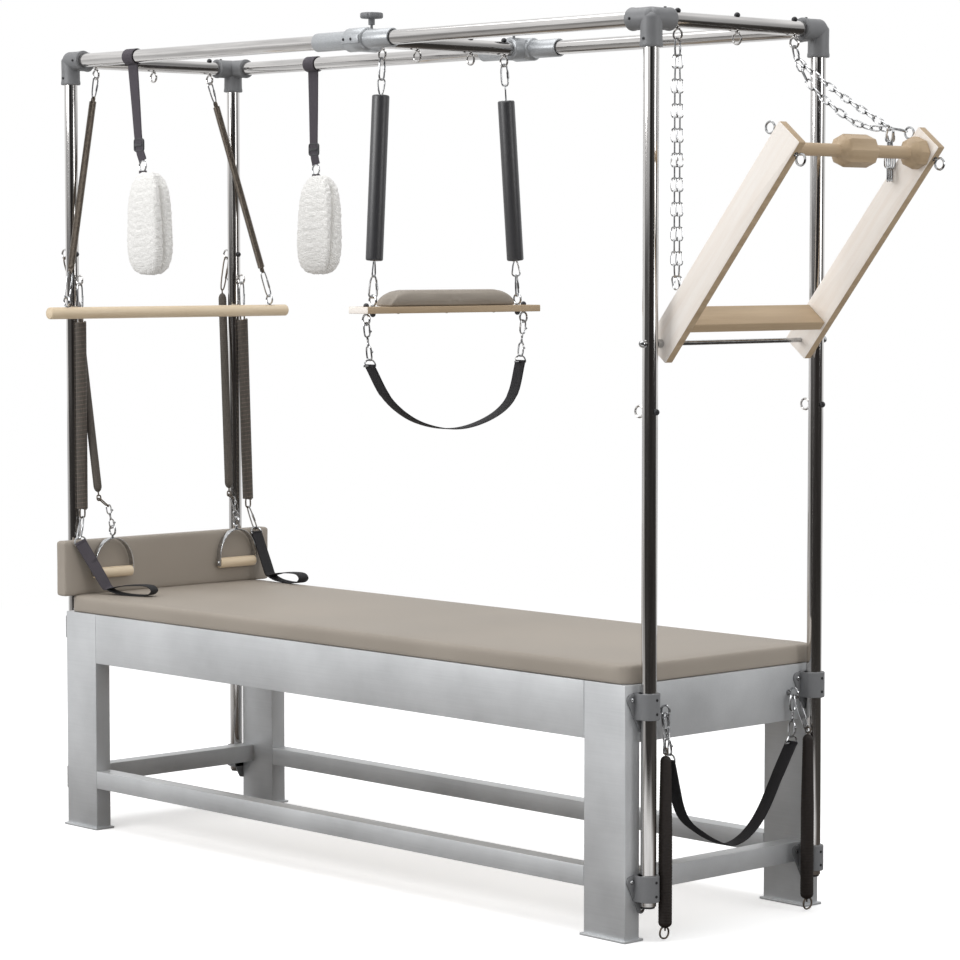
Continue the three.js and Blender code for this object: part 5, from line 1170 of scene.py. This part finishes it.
# %% [markdown]
# ## Webbing
# Webbing is a flat band with a woven face and rounded edges. It hangs in a curve of its own weight and
# is doubled back and sewn where it holds a ring. The band's outline is carried along the path with its
# width kept level, and the weave follows the band's own corners, so it runs true round every bend.

# %% D rings, slings
web = 38  # the webbing's width, an inch and a half
roll_out = 17  # from a D ring's top to the roll of webbing on its bar


def dee_ring(top, across, down, half=20, high=18, thick=2.3):
    """A half circle above a straight bar."""
    a = np.linspace(0, np.pi, 17)
    bow = top + np.outer(half * np.cos(a), across) + np.outer(high * (1 - np.sin(a)), down)
    bar = bow[-1] + np.outer(np.linspace(0.15, 0.85, 5), bow[0] - bow[-1])
    return wire(np.vstack([bow, bar]), thick, np.cross(across, down), closed=True)


def web_roll(middle, across, radius):
    """The webbing's turn round a D ring's bar."""
    return rod(middle - across * (web / 2 - 0.1), middle + across * (web / 2 - 0.1), radius, 16, edge=1.5)


def sling(node, body, x, centre_y, ring_y, ring_z, knots, hook_x, hook_z, hook_ys):
    """Webbing through the knots (y, z), which are read off the photograph, between two D rings."""
    ends = [[[x, centre_y + k * ring_y, ring_z - roll_out]] for k in (-1, 1)]
    path = smooth_path(ends[0] + [[x, y, z] for y, z in knots] + ends[1], 81)
    long = length(path)
    far = np.concatenate([[0], np.cumsum(np.linalg.norm(np.diff(path, axis=0), axis=1))])
    lap = np.minimum(far, long - far) < 95
    parts = [band(path, X, web, np.where(lap, 5.0, 2.6))]
    for s, hook_y in ((-1, hook_ys[0]), (1, hook_ys[1])):
        dee = point(x, centre_y + s * ring_y, ring_z)
        parts += all_tinted([dee_ring(dee, Y, -Z)]
                            + double_snap([hook_x, hook_y, hook_z], dee - Z * 2.2, Y, X, 9.5, 2.4), 1)
        parts.append(web_roll(dee - Z * roll_out, X, 4.4))
    piece(node + "_dressed", parts, [webbing, bright], body, node)
    print(node, "webbing", round(long), "mm long")


sling("trapeze_sling", "trapeze_sling", slider_x, sway, 273, 1376,
      [(-208, 1276), (-133, 1222), (-48, 1193), (44, 1184), (132, 1198), (210, 1230), (255, 1276)],
      slider_x, board_low - eye_reach - eye_r + bearing + 2.2, (sway - sling_y, sway + sling_y))
slung_hook_z = slung_z - eye_r + bearing + 5.4
sling("end_sling", "end_sling", 1152, 0, 222, 447,
      [(-180, 300), (-111, 242), (-28, 204), (24, 205), (76, 232), (121, 278), (168, 350)],
      slung_x - 4.5, slung_hook_z, (-slung_y, slung_y))

# %% [markdown]
# The two strap loops run down from their D rings in doubled webbing, turn a little above the mattress
# and open into a loop. One side of the loop lies flat, the other bows over it, and the band is stiff
# enough to stand open. The band's width turns from the slope to the level as it comes down.

# %% Strap loops
for which, (name, side) in enumerate(sides):
    dee, bend, end = strap_dees[which], strap_bends[which], strap_ends[which]
    down = unit(bend - dee)
    flat = unit(end - bend)
    long = np.linalg.norm(end - bend)
    across_flat = unit(np.cross(Z, flat))
    across_down = unit(np.cross(X, down))
    if across_down @ across_flat < 0:
        across_down = -across_down
    start = dee + down * roll_out
    foot = bend + Z * 20
    turn = bend + flat * long * 0.08 + Z * 14
    path = smooth_path([start, start + (foot - start) * 0.35, start + (foot - start) * 0.75, foot, turn], 32)
    t = np.linspace(0, 1, 32)[:, None]
    parts = [band(path, across_down + (across_flat - across_down) * t**2, web, 5.2)]
    knots = [(0.08, 12.6), (0.16, 8), (0.3, 3), (0.55, 0), (0.8, 1), (0.94, 6), (1, 16), (0.95, 26),
             (0.84, 30),
             (0.6, 29), (0.35, 25), (0.16, 18.6), (0.08, 15.4)]
    loop = smooth_path([bend + flat * long * along + Z * height for along, height in knots], 78)
    parts.append(tinted(band(loop, across_flat, web, 2.6), 1))
    parts.append(web_roll(start, across_down, 4.2))
    for far in (0.42, 0.45):  # two rows of stitches, proud of the webbing's face
        at = start + (foot - start) * far + X * 2.5
        parts.append(tinted(rod(at - across_down * 18, at + across_down * 18, 0.5, 6, edge=0.2), 1))
    parts.append(tinted(dee_ring(dee, across_down, down), 2))
    print(name, "strap loop,", round(2 * length(path) + length(loop)),
          "mm of webbing, doubled above the loop")
    piece(f"strap_loop_{name}_dressed", parts, [charcoal if side < 0 else webbing, webbing, bright],
          f"strap_{name}", f"strap_loop_{name}")

# %% [markdown]
# ## Fleece loops
# Each fleece loop hangs from a band of grey webbing that wraps a long tube, passes a dark slider buckle
# and holds a ring. The loop itself is a thick ring of fleece that its own weight has closed to a slit.
# Fleece is curled pile: the swept ring is built first and then its skin is pushed out by layered waves
# worked out from each point's place, so that the outline is lumpy too and not only the shading.

# %% Pile: height = a sum of sines of mixed directions, sharpened so that it reads as tufts
def tufts(points, size, depth, seed, waves=9):
    """d = depth * mean over k of |sin(p . d_k / size + phase_k)|^(1/2) minus its mean."""
    rng = np.random.default_rng(seed)
    total = np.zeros(points.shape[:-1])
    for _ in range(waves):
        direction = unit(rng.normal(size=3)) * (1 + 0.7 * rng.random())
        total += np.sqrt(abs(np.sin(points @ direction / size + rng.random() * 6.28)))
    total /= waves
    return depth * (total - total.mean())


def fleece_body(x, y, mid_z, seed, crease):
    """Two layers of pile pressed together. Each level's outline is two rounded halves, a cos^(1/2) t by
    b sin^(1/2) t, that meet in a crease at both ends; one plain outline takes over at the top and bottom."""
    rows, half_cols = 230, 130
    a, b, tall = 71, 40, 143
    z = -tall * np.cos(np.linspace(0.03, np.pi - 0.03, rows))[:, None]
    share = z / tall
    size = (1 - abs(share) ** 3.4) ** (1 / 3.4) * (1 - 0.12 * (share + 1) ** 1.5 / 2)
    middle = (crease[0] + crease[1] * share) * size
    t = np.radians(np.linspace(50, -230, half_cols))
    cx, sy = np.sign(np.cos(t)) * abs(np.cos(t)) ** 0.62, np.sign(np.sin(t)) * abs(np.sin(t)) ** 0.62
    q = np.linspace(0, np.pi, half_cols, endpoint=False)
    px, py = np.sign(np.cos(q)) * abs(np.cos(q)) ** 0.6, abs(np.sin(q)) ** 0.6
    lobed = np.clip((1 - abs(share + 0.08)) / 0.2, 0, 1) ** 0.7
    us, vs, heart = [], [], []
    for way in (-1, 1):
        half, centre = (b * size - way * middle) / 2, (middle + way * b * size) / 2
        u, v = a * size * cx, centre - way * half * sy
        plain_u, plain_v = a * size * px, way * b * size * py
        u, v = plain_u + (u - plain_u) * lobed, plain_v + (v - plain_v) * lobed
        us.append(u if way < 0 else u[:, ::-1])
        vs.append(v if way < 0 else v[:, ::-1])
        heart.append(np.broadcast_to(centre, u.shape))
    points = np.stack([x + np.hstack(us), y + np.hstack(vs),
                       mid_z + np.broadcast_to(z, (rows, 2 * half_cols))], 2)
    centre = np.stack([np.full(points.shape[:2], x), y + np.hstack(heart),
                       mid_z + np.broadcast_to(z * 0.8, (rows, 2 * half_cols))], 2)
    points = points + unit(points - centre) * (tufts(points, 2.0, 9.0, seed)
                                               + tufts(points, 7.0, 9.0, seed + 1))[..., None]
    return outward(skin(points))


fleece_spots = ((-862, -836, -819, -790), (-785, -783, -774, -758))
buckle_z, fleece_ring_z, fleece_top, fleece_tall = 1958, 1899, 1882, 288
wrap_r, fleece_web = tube_r + 2, 33
for which, (name, side) in enumerate(sides):
    wrap_x, buckle_x, dee_x, fleece_x = fleece_spots[which]
    y = side * upright_y
    a = np.linspace(0, 2 * np.pi, 72, endpoint=False)
    wrap = np.stack([np.full(len(a), wrap_x), y + wrap_r * np.sin(a), tube_z + wrap_r * np.cos(a)], 1)
    under, b = point(wrap_x, y, tube_z - wrap_r), point(buckle_x, y, buckle_z)
    path = smooth_path([under - Z, under + (b - under) * 0.5, b, point(dee_x, y, fleece_ring_z + 15)], 50)
    wide = np.interp(path[:, 2], [buckle_z, tube_z - wrap_r], [fleece_web, 44])
    outlines = np.stack([rounded(w / 2, 2.2, 2.1, 3) for w in wide])
    parts = [band(wrap, X, 46, 3.0, closed=True), swept(path, outlines, X)]
    print(name, "fleece strap,", round(2 * length(path) + 2 * math.pi * wrap_r), "mm of webbing")
    rim = rounded(20, 16, 6, 5)
    bar = box_plate(buckle_x - 17, buckle_x + 17, y - 4.4, y + 4.4, buckle_z - 4, buckle_z + 4, 2, 1.2, "x")
    parts.append(tinted(wire(b + rim[:, :1] * X + rim[:, 1:] * Z, 3.2, Y, closed=True, sides=10), 1))
    parts.append(tinted(bar, 1))
    parts.append(tinted(ring(point(dee_x, y, fleece_ring_z), Y, 15, 2.3), 2))
    piece(f"fleece_strap_{name}_dressed", parts, [charcoal, plastic, bright], f"fleece_{name}",
          f"fleece_strap_{name}")
    mid = fleece_top - fleece_tall / 2
    tab = smooth_path([[dee_x, y, fleece_top - 40], [dee_x, y, fleece_top], [dee_x, y, fleece_ring_z - 14]],
                      16)
    crease = ((2, -7), (-5, 15))[which]
    parts = [fleece_body(fleece_x, y, mid, 4 + which, crease), tinted(band(tab, X, fleece_web, 4.6), 1)]
    made = piece(f"fleece_loop_{name}_dressed", parts, [pile, charcoal], f"fleece_{name}",
                 f"fleece_loop_{name}",
                 crease=80)

# %% [markdown]
# ## Leg springs
# Two sleeved springs hang beside the foot uprights, each with a wire loop at its lower end.

# %% Leg springs
for name, side in sides:
    y = side * 258
    top, low = point(1175, y, 433.5), point(1175, y, 48.5)
    hook = point(slung_x + 4.5, side * slung_y, slung_hook_z)
    parts = sleeve_tube(top, low, 16.5, 60, 0.25, 0.8, 0.22)
    parts += all_tinted(carabiner(top + Z * 21.8, hook, Y, 10, 2.2, 0.8), 2)
    parts.append(tinted(oval([1175, y, 34.2], [1175, side * 264, 7], Y, 15, 2.4, 1, 0.9, 32), 1))
    parts.append(tinted(oval(top + Z * 20, top + Z * 34, X, 7, 2.2), 1))
    piece(f"leg_spring_{name}_dressed", parts, [sleeve_dark, spring_steel, bright], f"leg_{name}",
          f"leg_spring_{name}")
print("webbing, fleece and leg springs dressed")

# %% [markdown]
# ## Upholstery
# The mattress is a foam slab in a tight vinyl cover. Its plan corners are round, its top edge is a
# tight roll and it rests flat on the frame. It is built as a stack of rounded outlines, slightly
# smaller than the real thing, and then filled: Blender's cloth swells it under pressure, which pulls
# the cover tight over the edge and leaves the faint waves that a drawn edge never has. The cover is
# cut 6 mm deeper than the slab and pressed flat on the frame at the end, so no gap shows under it.

# %% Slab surface
def slab_rows(x0, x1, y0, y1, z0, z1, corner, roll, steps=7, corner_steps=9, split=(48, 16)):
    """Outlines of a rounded rectangle from the flat underside up the side and over the rolled edge:
    inset = roll (1 - cos q), height = top - roll_high (1 - sin q)."""
    q = np.linspace(0, np.pi / 2, steps)
    roll_high = min(roll, (z1 - z0) * 0.7)
    layers = [(0.0, 6.0), (0.0, 1.5), (3.0, 0.0), ((z1 - z0) - roll_high, 0.0)]
    layers += [((z1 - z0) - roll_high * (1 - math.sin(t)), roll * (1 - math.cos(t))) for t in q[1:]]
    rows = []
    for h, inset in layers:
        o = rounded((x1 - x0) / 2 - inset, (y1 - y0) / 2 - inset, max(corner - inset * 0.6, 3), corner_steps)
        o = fill_sides(o, split, corner_steps)
        rows.append(np.stack([(x0 + x1) / 2 + o[:, 0], (y0 + y1) / 2 + o[:, 1], np.full(len(o), z0 + h)], 1))
    return np.array(rows)


def fill_sides(outline, split, steps):
    """Extra points on the straight sides, spaced evenly, so that the cover can bend there."""
    made = []
    for k in range(4):
        corner_points = outline[k * steps:(k + 1) * steps]
        nxt = outline[((k + 1) * steps) % len(outline)]
        n = split[0] if k % 2 == 0 else split[1]
        t = np.linspace(0, 1, n + 2)[1:-1, None]
        made += [corner_points, corner_points[-1] + (nxt - corner_points[-1]) * t]
    return np.vstack(made)


def slab(rows):
    """The stacked outlines closed by insets that shrink to the middle, top and bottom."""
    def closing(row, lift):
        """Each inset is drawn in by the same length on every side, and is lifted towards the middle."""
        middle = row.mean(0)
        half = np.abs(row - middle).max(0)
        long, short = (0, 1) if half[0] > half[1] else (1, 0)
        made = []
        for k in (0.97, 0.9, 0.75, 0.5, 0.25):
            scale = point(1, 1, 1)
            scale[short], scale[long] = k, 1 - (1 - k) * half[short] / half[long]
            inner = middle + (row - middle) * scale
            inner[:, 2] += lift * (1 - k)
            made.append(inner)
        return made

    top = closing(rows[-1], 1.2)
    low = closing(rows[0], 0.0)[::-1]
    return skin(np.array(low + list(rows) + top))


# %% Filling a cover
def swell(made, voxel, cap, floor_z=None, pressure=3.0, frames=20):
    """The mesh is rebuilt in even squares, blown up by cloth pressure for 20 frames with no gravity, and no
    point may end further than cap from where it began: p = rest + d * min(1, cap / |d|). Nothing ends
    under floor_z. All of it is in metres."""
    scene = bpy.context.scene
    again = made.modifiers.new("even", "REMESH")
    again.mode, again.voxel_size = "VOXEL", voxel
    cloth_mesh = bpy.data.meshes.new_from_object(made.evaluated_get(bpy.context.evaluated_depsgraph_get()))
    made.modifiers.clear()
    made.data = cloth_mesh
    count = len(cloth_mesh.vertices)
    rest = np.zeros(count * 3, np.float32)
    cloth_mesh.vertices.foreach_get("co", rest)
    rest = rest.reshape(-1, 3)
    fill = made.modifiers.new("fill", "CLOTH")
    fill.settings.use_pressure = True
    fill.settings.uniform_pressure_force = pressure
    fill.settings.quality = 4
    fill.settings.tension_stiffness = fill.settings.compression_stiffness = 30
    fill.settings.effector_weights.gravity = 0
    fill.point_cache.frame_start, fill.point_cache.frame_end = 1, frames
    for step in range(1, frames + 1):
        scene.frame_set(step)
    blown = made.evaluated_get(bpy.context.evaluated_depsgraph_get()).to_mesh()
    now = np.zeros(count * 3, np.float32)
    blown.vertices.foreach_get("co", now)
    move = now.reshape(-1, 3) - rest
    size = np.linalg.norm(move, axis=1, keepdims=True)
    move *= np.minimum(1, cap / np.maximum(size, 1e-9))
    after = rest + move
    if floor_z is not None:
        after[:, 2] = np.maximum(after[:, 2], floor_z)
    made.modifiers.clear()
    cloth_mesh.vertices.foreach_set("co", after.astype(np.float32).ravel())
    cloth_mesh.polygons.foreach_set("use_smooth", np.ones(len(cloth_mesh.polygons), bool))
    cloth_mesh.update()
    soft = made.modifiers.new("soft", "SUBSURF")
    soft.levels = soft.render_levels = 1
    scene.frame_set(1)
    print(made.name, count, "points, moved at most", round(float(size.max()) * 1000, 1), "mm")


# %% Mattress
bed_low = 616.5
rows = slab_rows(-1131, 1127, -349, 349, bed_low, 668.5, 44, 5)
mattress = piece("mattress_dressed", [slab(rows)], vinyl, "frame", "mattress", crease=60)
swell(mattress, 0.009, 0.003, 0.6225)

# %% Headboard: the same slab stood on its edge, its back flat against the uprights' side
panel_z = 749.5
rows = slab_rows(-380, 380, 666.5 - panel_z, 828 - panel_z, 0, 40, 4, 3, split=(24, 8))
flat_slab = slab(rows)
v = flat_slab["v"]
flat_slab["v"] = np.stack([-1138.5 + v[:, 2], v[:, 0], panel_z + v[:, 1]], 1)
headboard = piece("headboard_dressed", [outward(flat_slab)], vinyl, "frame", "headboard_panel",
                  crease=60)
swell(headboard, 0.006, 0.0015)

# %% Pad on the trapeze board: height = 41 * rise(distance from the end) * (1 - 0.28 |x / 35|^4)
pad_half, pad_low = 226, board_top + 0.4
t = np.linspace(-1, 1, 81)
y_pad = pad_half * np.sign(t) * (1 - (1 - abs(t)) ** 1.5)
rise = np.interp(pad_half - abs(y_pad), [0, 2, 5, 12, 22, 40, 62], [0.02, 0.16, 0.34, 0.55, 0.76, 0.93, 1.0])
x_pad = np.concatenate([np.linspace(-34, 34, 25), np.linspace(34, -34, 17)[1:-1]])
top_side = np.arange(len(x_pad)) < 25
shape = np.where(top_side, 1 - 0.28 * abs(x_pad / 35) ** 4, 0.0)
grid = (len(y_pad), len(x_pad))
pad_points = np.stack([np.broadcast_to(slider_x + x_pad, grid), np.broadcast_to(sway + y_pad[:, None], grid),
                       pad_low + 41 * rise[:, None] * shape], 2)
trapeze_pad = piece("trapeze_pad_dressed", [skin(pad_points)], vinyl, "trapeze", "trapeze_pad",
                    crease=50)
swell(trapeze_pad, 0.004, 0.002, pad_low / 1000)
print("upholstery done")

# %% [markdown]
# ## Studio
# The table stands on a pale sweep in soft light from the left. What a polished tube shows is the room
# round it: a bright panel on the left, a dim one on the right, a dark room behind the camera and past
# the lit floor, and white behind the table. Those dark stripes are what makes a tube read as metal. So
# the floor has one colour for the camera, one for mirrors and a darker one for the light it hands on.

# %% Floor
floor_half = 26000
floor = piece("studio_floor", [box_plate(-floor_half, floor_half, -floor_half, floor_half, -20, 0, 1, 0.5)],
              vinyl, "frame")
ground = bpy.data.materials.new("studio_sweep")
ground.use_nodes = True
tree = ground.node_tree
shader = tree.nodes["Principled BSDF"]
shader.inputs["Roughness"].default_value = 0.9
shader.inputs["Specular IOR Level"].default_value = 0.1
shader.inputs["Emission Color"].default_value = (1, 1, 1, 1)
place = add(tree, "ShaderNodeTexCoord")
ray = add(tree, "ShaderNodeLightPath")


def measure(tree, source, direction):
    """How far a point or a ray goes along a direction: p . d."""
    node = add(tree, "ShaderNodeVectorMath", operation="DOT_PRODUCT")
    node.inputs[1].default_value = direction
    wire_up(tree, (source, node.inputs[0]))
    return node.outputs["Value"]


def ramped(tree, source, start, stop, low=0.0, high=1.0):
    """low up to start and high from stop, straight between."""
    node = add(tree, "ShaderNodeMapRange",
               {"From Min": start, "From Max": stop, "To Min": low, "To Max": high})
    wire_up(tree, (source, node.inputs["Value"]))
    return node.outputs["Result"]


def combined(tree, operation, one, two):
    """One number from two sockets, or from a socket and a plain number."""
    node = add(tree, "ShaderNodeMath", operation=operation)
    for k, value in enumerate((one, two)):
        if isinstance(value, (int, float)):
            node.inputs[k].default_value = value
        else:
            wire_up(tree, (value, node.inputs[k]))
    return node.outputs[0]


def blended(tree, share, one, two):
    """A colour from one to two; each is a socket or three numbers."""
    node = add(tree, "ShaderNodeMix", data_type="RGBA")
    for key, value in (("Factor", share), ("A", one), ("B", two)):
        if isinstance(value, tuple):
            node.inputs[key].default_value = (*value, 1)
        else:
            wire_up(tree, (value, node.inputs[key]))
    return node.outputs["Result"]


white, pale = (1.0, 1.0, 1.0), (0.96, 0.96, 0.96)
toward = (math.sin(heading), -math.cos(heading), 0.0)
rightward = (math.cos(heading), math.sin(heading), 0.0)
far_off = add(tree, "ShaderNodeVectorMath", operation="LENGTH")
wire_up(tree, (place.outputs["Object"], far_off.inputs[0]))
fade = ramped(tree, far_off.outputs["Value"], 2.5, 7.0)
near_side = measure(tree, place.outputs["Object"], toward)
across_side = measure(tree, place.outputs["Object"], rightward)
unlit = ramped(tree, near_side, 2.4, 3.4)
lit_patch = combined(tree, "MULTIPLY", ramped(tree, near_side, 1.0, 1.5),
                     ramped(tree, near_side, 2.4, 3.4, 1.0, 0.0))
narrow = ramped(tree, combined(tree, "ABSOLUTE", across_side, 0.0), 1.3, 2.1, 1.0, 0.0)
room = blended(tree, ramped(tree, across_side, -1.6, -2.4), (0.11, 0.092, 0.078), (0.45, 0.44, 0.43))
room = blended(tree, ramped(tree, across_side, 1.6, 2.4), room, (0.05, 0.045, 0.04))
room = blended(tree, unlit, room, (0.03, 0.026, 0.023))
room = blended(tree, combined(tree, "MULTIPLY", lit_patch, narrow), room, (0.9, 0.9, 0.9))
room = blended(tree, ramped(tree, near_side, -1.0, -2.2), room, pale)
tone = blended(tree, ray.outputs["Is Glossy Ray"], pale, room)
plain_seen = combined(tree, "MAXIMUM", ray.outputs["Is Camera Ray"], ray.outputs["Is Glossy Ray"])
tone = blended(tree, plain_seen, (0.5, 0.495, 0.49), tone)
lift = combined(tree, "MULTIPLY", ray.outputs["Is Camera Ray"], 0.42)
glow = add(tree, "ShaderNodeEmission", {"Color": (1, 1, 1, 1), "Strength": 1.0})
mixed = add(tree, "ShaderNodeMixShader")
seen = combined(tree, "MULTIPLY", ray.outputs["Is Camera Ray"], fade)
wire_up(tree, (tone, shader.inputs["Base Color"]), (lift, shader.inputs["Emission Strength"]),
        (seen, mixed.inputs[0]),
        (shader.outputs[0], mixed.inputs[1]), (glow.outputs[0], mixed.inputs[2]),
        (mixed.outputs[0], tree.nodes["Material Output"].inputs["Surface"]))
floor.data.materials[0] = ground

# %% World
world = bpy.data.worlds.new("studio")
bpy.context.scene.world = world
world.use_nodes = True
tree = world.node_tree
back = tree.nodes["Background"]
place = add(tree, "ShaderNodeTexCoord")
ray = add(tree, "ShaderNodeLightPath")
direction = place.outputs["Generated"]
side = ramped(tree, measure(tree, direction, rightward), -1, 1)
behind = ramped(tree, measure(tree, direction, toward), 0.05, -0.35)
height = measure(tree, direction, (0.0, 0.0, 1.0))
panels = add(tree, "ShaderNodeValToRGB")
stops = panels.color_ramp.elements
for k, (at, value) in enumerate(((0.0, 1.0), (0.29, 0.95), (0.37, 0.03), (0.60, 0.03), (0.68, 0.12),
                                 (0.85, 0.16), (1.0, 0.35))):
    stop = stops[k] if k < 2 else stops.new(at)
    stop.position, stop.color = at, (value, value, value, 1)
wire_up(tree, (side, panels.inputs["Fac"]))
low_band = combined(tree, "MAXIMUM", ramped(tree, height, 0.0, 0.06, 0.08, 1.0), behind)
shade = blended(tree, low_band, (0.03, 0.026, 0.024), panels.outputs["Color"])
shade = blended(tree, combined(tree, "MAXIMUM", behind, ramped(tree, height, 0.6, 0.9)), shade, white)
shade = blended(tree, ray.outputs["Is Glossy Ray"], (0.72, 0.72, 0.72), shade)
shade = blended(tree, ray.outputs["Is Camera Ray"], shade, white)
wire_up(tree, (shade, back.inputs["Color"]))
back.inputs["Strength"].default_value = 1.0

# %% Lamps
middle_point = np.array([0.0, 0.0, 1.1])


def softbox(name, place_at, size, power):
    """An area lamp of a width and a height that faces the middle of the table."""
    lamp = bpy.data.lights.new(name, "AREA")
    lamp.shape, lamp.size, lamp.size_y, lamp.energy = "RECTANGLE", size[0], size[1], power
    made = bpy.data.objects.new(name, lamp)
    bpy.context.scene.collection.objects.link(made)
    made.location = place_at
    made.rotation_euler = (Vector(middle_point) - Vector(place_at)).to_track_quat("-Z", "Y").to_euler()


softbox("softbox_left", (-1.8, -5.4, 3.4), (2.8, 2.5), 120)
softbox("softbox_over", (-0.3, -0.4, 5.0), (4.0, 3.0), 76)
softbox("softbox_right", (5.8, 1.2, 2.6), (1.6, 2.6), 50)
bpy.context.scene.view_settings.view_transform = "Standard"
print("studio ready")
